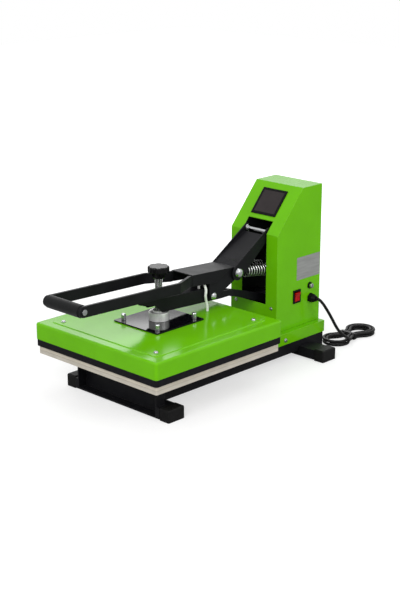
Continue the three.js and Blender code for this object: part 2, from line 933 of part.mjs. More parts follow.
// Heater cable, from the cover up and over the edge of the arm
function heaterCable() {
  const r = heaterCableRadius;
  const { x, y } = heaterCableHole;
  const coverFace = coverTop + panelRise;
  const armTop = armTopAt(y);
  const side = armWidth / 2;
  const points = [
    new THREE.Vector3(x, y, coverFace - 2 * r),
    new THREE.Vector3(x, y, coverFace + 3 * r),
    new THREE.Vector3(x, y - 1.5 * r, hubTop),
    new THREE.Vector3(side + 2 * r, y - 3 * r, armTop - 5 * r),
    new THREE.Vector3(side + 2 * r, y - 2.5 * r, armTop),
    new THREE.Vector3(side - r, y - 2.5 * r, armTop + 4.5 * r),
    new THREE.Vector3(armCableHole.x + r, armCableHole.y, armTop + 4 * r),
    new THREE.Vector3(armCableHole.x, armCableHole.y, armTop),
    new THREE.Vector3(armCableHole.x, armCableHole.y, armTop - armWall - 2 * r),
  ];
  return tubeThrough(points, r, cableSides, cableSteps);
}
add("heater_cable", heaterCable(), "sleeve");

// Arm
function arm() {
  const half = armWidth / 2;
  const top = (y) => armTopAt(y);
  const bottom = (y) => armTopAt(y) - armHeight;
  const stripEnd = armStripTurnY + armStripReach;
  const side = polygon([
    [armNoseY, top(armNoseY)],
    ...armNoseOutline.map(({ run, depth }) => [armNoseY + run, top(armNoseY + run) - depth]),
    [armStripTurnY - armStripHeight * 2, armStripTop - armStripHeight],
    [armStripTurnY, armStripTop - armStripHeight],
    [stripEnd, tailTopAt(stripEnd) - armStripHeight],
    [stripEnd, tailTopAt(stripEnd)],
    [armStripTurnY, armStripTop],
    [armChannelEnd, top(armChannelEnd) - armStripHeight],
    [tailStartY, top(tailStartY)],
  ]);
  const hollow = polygon([
    [armNoseY - overrun, bottom(armNoseY) - armHeight],
    [stripEnd - armEndPlate, bottom(armNoseY) - armHeight],
    [stripEnd - armEndPlate, tailTopAt(stripEnd)],
    [armStripTurnY, armStripTop + overrun],
    [armChannelEnd, top(armChannelEnd)],
    [tailStartY, top(tailStartY) - armWall],
    [armNoseY - overrun, top(armNoseY - overrun) - armWall],
  ]);
  const channel = cut(acrossX(side, -half, half), acrossX(hollow, -half + armWall, half - armWall));
  const pivotBottom = tailTopAt(armPivot.y) - armStripHeight;
  const tail = new THREE.Shape();
  tail.moveTo(tailNoseY, top(leverPivot.y));
  tail.lineTo(tailNoseY, leverPivot.z - armTailDepth);
  tail.lineTo(armStripTurnY, armStripTop - armStripHeight);
  tail.lineTo(armPivot.y, pivotBottom);
  tail.lineTo(armPivot.y, tailTopAt(armPivot.y) + armStripHeight / 2);
  tail.lineTo(armStripTurnY, armStripTop);
  tail.lineTo(armChannelEnd, top(armChannelEnd) - armStripHeight);
  tail.lineTo(tailStartY, top(tailStartY) - armWall / 2);
  tail.closePath();
  const tongue = acrossX(tail, -tailThickness / 2, tailThickness / 2);
  const eye = barAcross(armPivot, armBossEyeRadius, -tailThickness / 2, tailThickness / 2, 32);
  const boss = barAcross(armPivot, armBossRadius, -armBossHalfLength, armBossHalfLength, 28);
  const nut = new THREE.CylinderGeometry(armNutRadius, armNutRadius, armNutHeight + armWall, 6)
    .rotateX(Math.PI / 2)
    .translate(0, hubY, top(hubY) - armWall + (armNutHeight + armWall) / 2);
  const screwHole = uprightPin(
    { x: 0, y: hubY },
    screwRadius + holeGap,
    bottom(hubY) - overrun,
    top(hubY) + armNutHeight + overrun,
    28,
  );
  const pivotHole = barAcross(armPivot, armPivotRadius + holeGap, -armBossHalfLength - overrun, armBossHalfLength + overrun);
  const leverHole = barAcross(leverPivot, leverPivotRadius + restGap, -half - overrun, half + overrun);
  const cableHole = uprightPin(
    armCableHole,
    heaterCableRadius + 2 * holeGap,
    top(armCableHole.y) - armWall - overrun,
    top(armCableHole.y) + overrun,
  );
  return cut(join(channel, tongue, eye, boss, nut), screwHole, pivotHole, leverHole, cableHole);
}
add("pressure_arm", arm(), "blackPaint");

// A domed bolt end that faces +x or -x, built from the washer face out.
function dome(radius, height) {
  const steps = 4;
  const points = [];
  for (let i = 0; i <= steps; i += 1) {
    const angle = (i / steps) * (Math.PI / 2);
    const share = domeRimShare + (1 - domeRimShare) * Math.sin(angle);
    points.push([radius * Math.cos(angle), height * share]);
  }
  points[steps][0] = 0;
  return points;
}

function leverBolt() {
  const seat = cheekHalfOuter + restGap;
  const half = [[leverPivotRadius, seat], [leverBoltHeadRadius, seat]];
  const outer = dome(leverBoltHeadRadius, leverBoltHeadHeight).map(([r, h]) => [r, seat + h]);
  const profile = [...half, ...outer];
  const mirrored = profile.map(([r, h]) => [r, -h]).reverse();
  return turned([...mirrored, ...profile], 24).rotateY(Math.PI / 2).translate(0, leverPivot.y, leverPivot.z);
}
add("lever_pivot_bolt", leverBolt(), "chrome");

// Lever bracket: top sheet with a bent lip at the rear and a flange down each side
const webNormal = { y: -Math.sin(webAngle), z: Math.cos(webAngle) };
const webHeight = (webTop.y - linkPivot.y) * webNormal.y + (webTop.z - linkPivot.z) * webNormal.z;
const lipReach = Math.sqrt(knuckleRadius ** 2 - webHeight ** 2);
const webUnder = webHeight - linkSheet;
const webStart = Math.sqrt((knuckleRadius + webKnuckleGap) ** 2 - webUnder ** 2);
const onWeb = (alongWeb, height) => ({
  y: linkPivot.y + alongWeb * Math.cos(webAngle) + height * webNormal.y,
  z: linkPivot.z + alongWeb * Math.sin(webAngle) + height * webNormal.z,
});

function leverBracket() {
  const lipTip = onWeb(lipReach, webHeight);
  const lipTipUnder = onWeb(lipReach, webHeight - bracketSheet);
  const sheet = polygon([
    [bracketFrontY, bracketFrontTop],
    [bracketFrontY, bracketFrontTop - bracketSheet],
    [bracketRearY + bracketSheet / 2, bracketRearTop - bracketSheet],
    [lipTipUnder.y, lipTipUnder.z],
    [lipTip.y, lipTip.z],
    [bracketRearY, bracketRearTop],
  ]);
  const fall = (bracketFrontTop - bracketRearTop) / (bracketRearY - bracketFrontY);
  const topAt = (y) => bracketFrontTop - fall * (y - bracketFrontY);
  const flange = polygon([
    [bracketFrontY, topAt(bracketFrontY) - bracketSheet / 2],
    [bracketFrontY, topAt(bracketFrontY) - bracketFlangeDepth],
    [bracketDiagonalY, topAt(bracketDiagonalY) - bracketFlangeDepth - bracketSheet],
    [bracketFlangeEndY, topAt(bracketFlangeEndY) - 2 * bracketSheet],
    [bracketFlangeEndY + bracketSheet, topAt(bracketFlangeEndY) - bracketSheet / 2],
  ]);
  const inner = bracketHalfWidth - bracketSheet;
  return join(
    acrossX(sheet, -bracketHalfWidth, bracketHalfWidth),
    acrossX(flange, inner, bracketHalfWidth),
    acrossX(flange, -bracketHalfWidth, -inner),
  );
}
add("lever_bracket", leverBracket(), "blackPaint");

function leverCheek(side) {
  const fall = (bracketFrontTop - bracketRearTop) / (bracketRearY - bracketFrontY);
  const underAt = (y) => bracketFrontTop - fall * (y - bracketFrontY) - bracketSheet - restGap;
  const shape = new THREE.Shape();
  const turn = Math.atan2(linkPivot.z - leverPivot.z, linkPivot.y - leverPivot.y);
  shape.moveTo(cheekFrontY, underAt(cheekFrontY));
  shape.lineTo(leverPivot.y - cheekLowerEyeRadius, leverPivot.z);
  shape.absarc(leverPivot.y, leverPivot.z, cheekLowerEyeRadius, Math.PI, 1.5 * Math.PI + turn, false);
  const shoulder = 2 * Math.PI + cheekShoulderAngle;
  shape.absarc(linkPivot.y, linkPivot.z, cheekUpperEyeRadius, 1.5 * Math.PI + turn, shoulder, false);
  shape.lineTo(bracketFlangeEndY, underAt(bracketFlangeEndY));
  shape.closePath();
  const inner = cheekHalfOuter - cheekThickness;
  const x0 = side > 0 ? inner : -cheekHalfOuter;
  const x1 = side > 0 ? cheekHalfOuter : -inner;
  const plate = acrossX(shape, x0, x1, 10);
  const lowerHole = barAcross(leverPivot, leverPivotRadius + restGap, x0 - overrun, x1 + overrun);
  const upperHole = barAcross(linkPivot, linkBoltRadius + restGap, x0 - overrun, x1 + overrun);
  return cut(plate, lowerHole, upperHole);
}
add("lever_cheek_left", leverCheek(-1), "blackPaint");
add("lever_cheek_right", leverCheek(1), "blackPaint");

// Handle bars and grip, built level from the grip pivot and then tilted to the bar's slope
const handleGroup = new THREE.Group();
handleGroup.position.set(0, gripPivot.y, gripPivot.z);
handleGroup.rotation.x = -barSlope;
press.add(handleGroup);

function handleBar(side) {
  const outer = barHalfSpan;
  const inner = barHalfSpan - barThickness;
  const jogStart = (jogStartY - gripPivot.y) / Math.cos(barSlope);
  const end = (bracketFrontY - restGap - gripPivot.y) / Math.cos(barSlope) - barHeight * Math.sin(barSlope);
  const rearOuter = bracketHalfWidth;
  const rearInner = bracketHalfWidth - barThickness;
  const jogEnd = end - barThickness;
  const plan = polygon(
    [
      [inner, -barHeight / 2],
      [outer, -barHeight / 2],
      [outer, jogStart],
      [rearOuter, jogEnd],
      [rearOuter, end],
      [rearInner, end],
      [rearInner, jogEnd - barThickness / 2],
      [inner, jogStart - barThickness / 2],
    ].map(([x, y]) => [side * x, y]),
  );
  const sideView = new THREE.Shape();
  sideView.absarc(0, 0, barHeight / 2, Math.PI / 2, 1.5 * Math.PI, false);
  sideView.lineTo(end + overrun, -barHeight / 2);
  sideView.lineTo(end + overrun, barHeight / 2);
  sideView.closePath();
  const body = common(upwards(plan, -barHeight, barHeight), acrossX(sideView, -outer - overrun, outer + overrun, 16));
  const hole = barAcross({ y: 0, z: 0 }, gripBoltRadius + holeGap, -outer - overrun, outer + overrun);
  return cut(body, hole);
}
add("handle_bar_left", handleBar(-1), "blackPaint", handleGroup);
add("handle_bar_right", handleBar(1), "blackPaint", handleGroup);

const gripHalf = barHalfSpan - barThickness - restGap;
const gripBore = gripBoltRadius + holeGap;
const gripProfile = [
  [gripBore, -gripHalf],
  [gripRadius - gripEdge, -gripHalf],
  [gripRadius, -gripHalf + gripEdge],
  [gripRadius, gripHalf - gripEdge],
  [gripRadius - gripEdge, gripHalf],
  [gripBore, gripHalf],
  [gripBore, -gripHalf],
];
add("handle_grip", turned(gripProfile, 28).rotateY(Math.PI / 2), "rubber", handleGroup);

const boltSeat = barHalfSpan + restGap;
const gripBoltProfile = [
  [0, -boltSeat - gripBoltHeadHeight],
  [gripBoltHeadRadius, -boltSeat - gripBoltHeadHeight],
  [gripBoltHeadRadius, -boltSeat],
  [gripBoltRadius, -boltSeat],
  [gripBoltRadius, boltSeat],
  [gripBoltHeadRadius, boltSeat],
  [gripBoltHeadRadius, boltSeat + gripBoltHeadHeight],
  [0, boltSeat + gripBoltHeadHeight],
];
add("grip_bolt", turned(gripBoltProfile, 20).rotateY(Math.PI / 2), "bareSteel", handleGroup);

// Toggle link: a bent channel with an eye at each end of both flanges
function toggleLink() {
  const inner = linkHalfWidth - linkSheet;
  const outline = strap(linkPivot, linkLowerEyeRadius, topPivot, linkUpperEyeRadius);
  const lower = onWeb(webStart, webUnder);
  const lowerTop = onWeb(webStart, webHeight);
  const upperTop = onWeb((webTop.y - linkPivot.y) * Math.cos(webAngle) + (webTop.z - linkPivot.z) * Math.sin(webAngle), webHeight);
  const upper = { y: upperTop.y - linkSheet * webNormal.y, z: upperTop.z - linkSheet * webNormal.z };
  const web = polygon([
    [lower.y, lower.z],
    [upper.y, upper.z],
    [upperTop.y, upperTop.z],
    [lowerTop.y, lowerTop.z],
  ]);
  const gusset = polygon([
    [lowerTop.y, lowerTop.z],
    [linkPivot.y, linkPivot.z],
    [topPivot.y, topPivot.z],
    [upperTop.y, upperTop.z],
  ]);
  const pieces = [acrossX(web, -linkHalfWidth, linkHalfWidth)];
  for (const [x0, x1] of [[inner, linkHalfWidth], [-linkHalfWidth, -inner]]) {
    pieces.push(acrossX(outline, x0, x1, 10), acrossX(gusset, x0, x1));
  }
  const whole = linkHalfWidth + overrun;
  const pinHole = barAcross(topPivot, topPivotRadius + holeGap, -whole, whole);
  const boltHole = barAcross(linkPivot, linkBoltRadius + restGap, -whole, whole);
  return cut(join(...pieces), pinHole, boltHole);
}
add("toggle_link", toggleLink(), "blackPaint");

// The pin through the link's upper eyes ends just short of the column's side plates.
function topPin() {
  const end = sidePlateInner - sideGap;
  const eyeInner = linkHalfWidth - linkSheet - restGap;
  const profile = [
    [0, -end],
    [topPivotRadius, -end],
    [topPivotRadius, -eyeInner],
    [topPivotCollarRadius, -eyeInner],
    [topPivotCollarRadius, topPivotCollar - eyeInner],
    [topPivotRadius, topPivotCollar - eyeInner],
  ];
  const mirrored = profile.map(([r, h]) => [r, -h]).reverse();
  return turned([...profile, ...mirrored], 24).rotateY(Math.PI / 2).translate(0, topPivot.y, topPivot.z);
}
add("top_pivot_pin", topPin(), "chrome");

// A shoulder bolt on each side carries the link, the lever's cheek and the eye of a spring rod.
function linkBolt(side) {
  const shoulder = cheekHalfOuter - cheekThickness;
  const seat = linkHalfWidth + restGap;
  const cap = dome(linkBoltWasherRadius - linkBoltWasher / 2, linkBoltDomeHeight);
  const profile = [
    [0, stubHalfInner],
    [stubRadius, stubHalfInner],
    [stubRadius, shoulder],
    [linkBoltRadius, shoulder],
    [linkBoltRadius, seat],
    [linkBoltWasherRadius, seat],
    [linkBoltWasherRadius, seat + linkBoltWasher],
    ...cap.map(([r, h]) => [r, seat + linkBoltWasher + h]),
  ];
  return turned(profile, 24).rotateY((side * Math.PI) / 2).translate(0, linkPivot.y, linkPivot.z);
}
add("link_bolt_left", linkBolt(-1), "chrome");
add("link_bolt_right", linkBolt(1), "chrome");

// Spring rods and springs, each pair placed in a group that points from the link pivot to the anchor bar
const rodAngle = Math.atan2(anchorZ - linkPivot.z, anchorY - linkPivot.y);
const rodRun = Math.hypot(anchorY - linkPivot.y, anchorZ - linkPivot.z);

function rodGroup(side) {
  const group = new THREE.Group();
  group.position.set(side * springCentre, linkPivot.y, linkPivot.z);
  group.rotation.x = rodAngle;
  press.add(group);
  return group;
}

// Along the rod is +Y in its group.
function springRod() {
  const collarEnd = springStart - springWireRadius - restGap;
  const end = rodRun + anchorDepth + rodTail;
  const profile = [
    [0, 0],
    [rodRadius, 0],
    [rodRadius, collarEnd - rodCollar],
    [rodCollarRadius, collarEnd - rodCollar],
    [rodCollarRadius, collarEnd],
    [rodRadius, collarEnd],
    [rodRadius, end],
    [0, end],
  ];
  const rod = turned(profile, 16).rotateX(-Math.PI / 2);
  const eyeHalf = rodEyeThickness / 2;
  const eye = barAcross({ y: 0, z: 0 }, rodEyeRadius, -eyeHalf, eyeHalf, 24);
  const hole = barAcross({ y: 0, z: 0 }, stubRadius + holeGap, -eyeHalf - overrun, eyeHalf + overrun);
  return cut(join(rod, eye), hole);
}

// The coil is one tube of even curls.
function springPoints() {
  const length = rodRun - anchorDepth / 2 - springWireRadius - restGap - springStart;
  const curls = Math.floor(length / springPitch);
  const steps = curls * springStepsPerCurl;
  const points = [];
  for (let i = 0; i <= steps; i += 1) {
    const angle = (i / springStepsPerCurl) * 2 * Math.PI;
    const y = springStart + (length * i) / steps;
    points.push(new THREE.Vector3(springRadius * Math.cos(angle), y, springRadius * Math.sin(angle)));
  }
  return points;
}

const coil = straightEnds(springPoints(), springWireRadius);
console.log("least gap of a spring to itself, mm:", leastGap(coil, springWireRadius, springStepsPerCurl).toFixed(2));
for (const [side, label] of [[-1, "left"], [1, "right"]]) {
  const group = rodGroup(side);
  add(`spring_rod_${label}`, springRod(), "bareSteel", group);
  add(`spring_${label}`, woundTube(coil, springWireRadius, springSides), "chrome", group);
}

// Column shell, open at the back and underneath
function columnShell() {
  const outline = (inset, reach) => {
    const slopeShift = inset / Math.sin(slopeAngle) - inset / Math.tan(slopeAngle);
    const topShift = inset * Math.tan(slopeAngle / 2);
    return polygon([
      [columnFrontY + inset, columnBottom - reach],
      [columnBackY + reach, columnBottom - reach],
      [columnBackY + reach, columnTop - inset],
      [slopeTopY + topShift, columnTop - inset],
      [columnFrontY + inset, slopeBottomZ - slopeShift],
    ]);
  };
  const shell = cut(
    acrossX(outline(0, 0), -columnHalf, columnHalf),
    acrossX(outline(columnSheet, overrun), -columnHalf + columnSheet, columnHalf - columnSheet),
  );
  const slot = box(-slotHalfWidth, slotHalfWidth, columnFrontY - overrun, slotTopY, slotBottom, slotTopZ);
  const rockerHole = box(
    columnHalf - columnSheet - overrun,
    columnHalf + overrun,
    rocker.y - rockerBodyWidth / 2 - restGap,
    rocker.y + rockerBodyWidth / 2 + restGap,
    rocker.z - rockerBodyHeight / 2 - restGap,
    rocker.z + rockerBodyHeight / 2 + restGap,
  );
  const wall0 = columnHalf - columnSheet - overrun;
  const wall1 = columnHalf + overrun;
  const fuseHole = barAcross(fuse, fuseBodyRadius + restGap, wall0, wall1);
  const glandHole = barAcross(gland, glandThreadRadius + restGap, wall0, wall1);
  return cut(shell, slot, rockerHole, fuseHole, glandHole, screenHole());
}

// Places a box on the column's slope: y runs up the slope from its lower bend, and z out of its face.
function onSlope(geometry) {
  const placed = geometry.clone().rotateX(slopeAngle);
  return placed.translate(0, columnFrontY, slopeBottomZ);
}

function screenHole() {
  const halfX = bezelWidth / 2 - bezelBodyInset + restGap;
  const halfY = bezelHeight / 2 - bezelBodyInset + restGap;
  const hole = box(-halfX, halfX, bezelCentreAlong - halfY, bezelCentreAlong + halfY, -columnSheet - overrun, overrun);
  return onSlope(hole);
}

function backPanel() {
  const inset = columnSheet + backPanelInset;
  const sheet = box(
    -columnHalf + inset,
    columnHalf - inset,
    columnBackY - columnSheet,
    columnBackY,
    columnBottom,
    columnTop - inset,
  );
  const vents = [];
  for (let row = 0; row < ventRows; row += 1) {
    const z = ventBottom + row * ventPitch;
    vents.push(box(-ventWidth / 2, ventWidth / 2, columnBackY - columnSheet - overrun, columnBackY + overrun, z, z + ventHeight));
  }
  return cut(sheet, ...vents);
}

function skirt() {
  const outer = box(-skirtHalfWidth - skirtSheet, skirtHalfWidth + skirtSheet, skirtFrontY, skirtBackY, skirtBottom, skirtTop);
  const inner = box(
    -skirtHalfWidth,
    skirtHalfWidth,
    skirtFrontY + skirtSheet,
    skirtBackY - skirtSheet,
    skirtBottom - overrun,
    skirtTop - skirtSheet,
  );
  const opening = box(
    -skirtOpeningHalf,
    skirtOpeningHalf,
    skirtOpeningFront,
    skirtOpeningBack,
    skirtTop - skirtSheet - overrun,
    skirtTop + overrun,
  );
  const railNotch = (x0, x1) =>
    box(x0, x1, skirtFrontY - overrun, skirtFrontY + 2 * skirtSheet, skirtBottom - overrun, skirtTop - skirtSheet);
  const lip = railHalfSpan - railFlange - restGap;
  return cut(outer, inner, opening, railNotch(lip, skirtHalfWidth), railNotch(-skirtHalfWidth, -lip));
}
add("column_shell", columnShell(), "limePaint");
add("column_back_panel", backPanel(), "limePaint");
add("column_skirt", skirt(), "limePaint");

// Side plates inside the column, the pins between them and the anchor bar of the springs
function sidePlate(side) {
  const front = { y: sidePlateFrontY, z: slopeBottomZ };
  const inset = columnSheet + sidePlateSlopeInset;
  const slopeAt = (y) => slopeBottomZ + (y - columnFrontY) * Math.tan(slopeAngle) - inset / Math.cos(slopeAngle);
  const bottom = railTop - frameSteel;
  const plate = polygon([
    [front.y, bottom],
    [sidePlateBackY, bottom],
    [sidePlateBackY, sidePlateTopZ],
    [sidePlateTopY, sidePlateTopZ],
    [front.y, slopeAt(front.y)],
  ]);
  const inner = sidePlateInner;
  const outer = sidePlateInner + sidePlateThickness;
  const x0 = side > 0 ? inner : -outer;
  const x1 = side > 0 ? outer : -inner;
  const armHole = barAcross(armPivot, armPivotRadius + restGap, x0 - overrun, x1 + overrun);
  return cut(acrossX(plate, x0, x1), armHole);
}
add("side_plate_left", sidePlate(-1), "blackPaint");
add("side_plate_right", sidePlate(1), "blackPaint");

const plateOuter = sidePlateInner + sidePlateThickness;
add("arm_pivot_shaft", barAcross(armPivot, armPivotRadius, -plateOuter, plateOuter, 28), "bareSteel");

// The anchor bar stands square to the rods, which slide through its two slots.
function anchorBar() {
  const half = sidePlateInner - restGap;
  const y0 = rodRun - anchorDepth / 2;
  const bar = box(-half, half, y0, y0 + anchorDepth, -anchorHeight / 2, anchorHeight / 2);
  const slots = [-1, 1].map((side) =>
    box(
      side * springCentre - anchorSlotWidth / 2,
      side * springCentre + anchorSlotWidth / 2,
      y0 - overrun,
      y0 + anchorDepth + overrun,
      -anchorSlotHeight / 2,
      anchorSlotHeight / 2,
    ),
  );
  return cut(bar, ...slots);
}
add("spring_anchor_bar", anchorBar(), "blackPaint", rodGroup(0));

// Screen and control board
function bezel() {
  const halfX = bezelWidth / 2;
  const halfY = bezelHeight / 2;
  const centre = bezelCentreAlong;
  const lip = box(-halfX, halfX, centre - halfY, centre + halfY, restGap, restGap + bezelProud);
  const bodyX = halfX - bezelBodyInset;
  const bodyY = halfY - bezelBodyInset;
  const body = box(-bodyX, bodyX, centre - bodyY, centre + bodyY, -bezelBodyDepth, restGap + bezelProud);
  const glassX = halfX - glassBorder + restGap;
  const glassY = halfY - glassBorder + restGap;
  const recess = box(-glassX, glassX, centre - glassY, centre + glassY, restGap + bezelProud - glassThickness - restGap, bezelLip);
  return cut(join(lip, body), recess);
}
const slopeGroup = new THREE.Group();
slopeGroup.position.set(0, columnFrontY, slopeBottomZ);
slopeGroup.rotation.x = slopeAngle;
press.add(slopeGroup);
add("screen_bezel", bezel(), "plastic", slopeGroup);
const glassX = bezelWidth / 2 - glassBorder;
const glassY = bezelHeight / 2 - glassBorder;
const glassTop = restGap + bezelProud;
add(
  "screen_glass",
  box(-glassX, glassX, bezelCentreAlong - glassY, bezelCentreAlong + glassY, glassTop - glassThickness, glassTop),
  "screen",
  slopeGroup,
);
const boardTop = -bezelBodyDepth - restGap;
add(
  "controller_board",
  box(
    -boardWidth / 2,
    boardWidth / 2,
    bezelCentreAlong - boardHeight / 2,
    bezelCentreAlong + boardHeight / 2,
    boardTop - boardThickness,
    boardTop,
  ),
  "board",
  slopeGroup,
);
// Rocker switch: the housing is a cup, and the paddle is a shallow V that rocks on an axis along y
function rockerHousing() {
  const face = columnHalf + restGap;
  const halfY = rockerFlangeWidth / 2;
  const halfZ = rockerFlangeHeight / 2;
  const flange = box(face, face + rockerFlange, rocker.y - halfY, rocker.y + halfY, rocker.z - halfZ, rocker.z + halfZ);
  const bodyY = rockerBodyWidth / 2;
  const bodyZ = rockerBodyHeight / 2;
  const body = box(face - rockerBodyDepth, face + rockerFlange, rocker.y - bodyY, rocker.y + bodyY, rocker.z - bodyZ, rocker.z + bodyZ);
  const wellY = paddleWidth / 2 + paddleGap;
  const wellZ = paddleHeight / 2 + paddleGap;
  const well = box(
    face - rockerBodyDepth / 2,
    face + rockerFlange + overrun,
    rocker.y - wellY,
    rocker.y + wellY,
    rocker.z - wellZ,
    rocker.z + wellZ,
  );
  return cut(join(flange, body), well);
}

function rockerPaddle() {
  const half = paddleHeight / 2;
  const tilted = Math.tan(paddleTilt) * half;
  const shape = polygon([
    [0, -paddleDepth],
    [half - paddleDepth, -paddleDepth],
    [half - paddleGap, tilted],
    [half - paddleGap, tilted + paddleDepth],
    [0, paddleDepth],
    [-half + paddleGap, tilted + paddleDepth],
    [-half + paddleGap, tilted],
    [-half + paddleDepth, -paddleDepth],
  ]);
  const solid = new THREE.ExtrudeGeometry(shape, { depth: paddleWidth, bevelEnabled: false });
  solid.applyMatrix4(new THREE.Matrix4().makeBasis(Z, X, Y));
  return solid.translate(0, -paddleWidth / 2, 0);
}
add("rocker_housing", rockerHousing(), "plastic");
const paddle = add("rocker_paddle", rockerPaddle(), "redPlastic");
paddle.position.set(columnHalf + rockerFlange - paddleRise * paddleAxisShare, rocker.y, rocker.z);
paddle.rotation.y = paddleTilt;

// Fuse holder and its slotted cap
function fuseHolder() {
  const face = columnHalf + restGap;
  const profile = [
    [0, face - fuseBodyDepth],
    [fuseBodyRadius, face - fuseBodyDepth],
    [fuseBodyRadius, face],
    [fuseFlangeRadius, face],
    [fuseFlangeRadius, face + fuseFlange],
    [0, face + fuseFlange],
  ];
  return turned(profile, 24).rotateY(Math.PI / 2).translate(0, fuse.y, fuse.z);
}

function fuseCap() {
  const base = columnHalf + 2 * restGap + fuseFlange;
  const top = base + fuseCapHeight;
  const profile = [
    [0, base],
    [fuseCapRadius, base],
    [fuseCapRadius, top - fuseCapSlot],
    [fuseCapRadius - fuseCapSlot, top],
    [0, top],
  ];
  const body = turned(profile, 24).rotateY(Math.PI / 2).translate(0, fuse.y, fuse.z);
  const slot = box(
    top - fuseCapSlot,
    top + overrun,
    fuse.y - fuseCapSlot / 2,
    fuse.y + fuseCapSlot / 2,
    fuse.z - fuseCapRadius,
    fuse.z + fuseCapRadius,
  );
  return cut(body, slot);
}
add("fuse_holder", fuseHolder(), "bareSteel");
add("fuse_cap", fuseCap(), "plastic");

// Cable gland: a hex collar, a domed nut and a threaded tail with its lock nut inside the wall
const glandFace = columnHalf + restGap;
const glandTip = glandFace + glandHexThickness + glandDomeLength;
const glandBore = cordRadius + holeGap;
function cableGland() {
  const inside = columnHalf - columnSheet - restGap;
  const dome1 = glandFace + glandHexThickness;
  const profile = [
    [glandBore, inside - glandInsideLength],
    [glandThreadRadius, inside - glandInsideLength],
    [glandThreadRadius, inside - glandNutThickness],
    [glandDomeRadius, inside - glandNutThickness],
    [glandDomeRadius, inside],
    [glandThreadRadius, inside],
    [glandThreadRadius, glandFace],
    [glandDomeRadius, glandFace],
    [glandDomeRadius, dome1 + glandDomeLength / 3],
    [glandTipRadius + (glandDomeRadius - glandTipRadius) / 2, dome1 + (2 * glandDomeLength) / 3],
    [glandTipRadius, glandTip],
    [glandBore, glandTip],
    [glandBore, inside - glandInsideLength],
  ];
  const body = turned(profile, 24).rotateY(Math.PI / 2).translate(0, gland.y, gland.z);
  const hex = new THREE.CylinderGeometry(glandHexRadius, glandHexRadius, glandHexThickness, 6)
    .rotateZ(Math.PI / 2)
    .translate(glandFace + glandHexThickness / 2, gland.y, gland.z);
  const bore = barAcross(gland, glandBore, glandFace - overrun, glandTip, 24);
  return cut(join(body, hex), bore);
}
add("cable_gland", cableGland(), "plastic");

// Mains cord: from the gland down to a tied hank on the floor, and on to the plug behind the frame
const hankPitch = 2 * cordRadius + hankGap;
const hankMiddle = (hankStart + hankEnd) / 2;

// The hank's loops are long rings drawn in at the waist. They spiral in on the upper layer, drop to the floor
// and spiral out again. A turn starts at the waist's right side and goes round the far fold first.
function hankPoint(turn) {
  const outward = hankPitch * Math.abs(turn - hankMiddle);
  const waistHalf = (hankFoldRadius + hankWaistRadius) * Math.cos(hankWaistAngle) - hankWaistRadius;
  const foldCentre = (hankFoldRadius + hankWaistRadius) * Math.sin(hankWaistAngle);
  const waistRadius = hankWaistRadius - outward;
  const foldRadius = hankFoldRadius + outward;
  const share = turn - Math.floor(turn);
  const nearFold = share >= 1 / 2;
  const half = nearFold ? 2 * share - 1 : 2 * share;
  let along = 0;
  let across = 0;
  if (half < hankWaistShare || half > 1 - hankWaistShare) {
    const leaving = half < hankWaistShare;
    const angle = (hankWaistAngle * (leaving ? half : 1 - half)) / hankWaistShare;
    along = waistRadius * Math.sin(angle);
    across = (waistHalf + hankWaistRadius - waistRadius * Math.cos(angle)) * (leaving ? -1 : 1);
  } else {
    const sweep = (2 * (half - hankWaistShare)) / (1 - 2 * hankWaistShare) - 1;
    const angle = sweep * (Math.PI / 2 + hankWaistAngle);
    along = foldCentre + foldRadius * Math.cos(angle);
    across = foldRadius * Math.sin(angle);
  }
  const mirror = nearFold ? -1 : 1;
  const climb = THREE.MathUtils.clamp(1 / 2 - (turn - hankMiddle) / hankClimbShare, 0, 1);
  return new THREE.Vector3(
    hankCentre.x - mirror * across,
    hankCentre.y + mirror * along,
    cordRadius + hankPitch * climb,
  );
}

function hankPoints() {
  const steps = Math.round((hankEnd - hankStart) * hankStepsPerTurn);
  const points = [];
  for (let i = 0; i <= steps; i += 1) points.push(hankPoint(hankStart + ((hankEnd - hankStart) * i) / steps));
  return straightEnds(points, cordRadius);
}
const hank = hankPoints();
console.log("least gap of the hank to itself, mm:", leastGap(hank, cordRadius, hankStepsPerTurn).toFixed(2));

// A place just off an end of the hank, in line with it
function offEnd(end, inner, distance) {
  return end.clone().addScaledVector(end.clone().sub(inner).normalize(), distance);
}
const runEnd = offEnd(hank[0], hank[1], restGap);
const tailStart = offEnd(hank[hank.length - 1], hank[hank.length - 2], restGap);

// The points of the free stretches are chosen by hand.
const runPoints = [
  [glandTip + restGap, gland.y, gland.z],
  [104, 660.5, 136.8],
  [111, 665.5, 128.5],
  [117, 675, 112],
  [121, 684, 96],
  [125, 692, 80],
  [129, 699, 65],
  [132, 709, 50],
  [135, 724, 35],
  [135.5, 742, 24],
  [132.5, 757, 16],
].map((place) => new THREE.Vector3(...place));
runPoints.push(offEnd(hank[0], hank[1], 2 * cordRadius), runEnd);
const tailPoints = [
  [50, 749, cordRadius],
  [40, 741, 6],
  [26, 736.5, 12],
  [15, plugAxis.y, 16.5],
  [plugAxis.fromX + 2 * cordRadius, plugAxis.y, plugFaceRadius],
  [plugAxis.fromX + restGap, plugAxis.y, plugFaceRadius],
].map((place) => new THREE.Vector3(...place));
tailPoints.unshift(tailStart, offEnd(hank[hank.length - 1], hank[hank.length - 2], 2 * cordRadius));
const lengthOf = (points) => new THREE.CatmullRomCurve3(points, false, "centripetal").getLength();
const hankLength = hank.reduce((sum, point, i) => (i ? sum + point.distanceTo(hank[i - 1]) : 0), 0);
const cordLength = lengthOf(runPoints) + hankLength + lengthOf(tailPoints);
console.log("cord length, mm:", cordLength.toFixed(0));

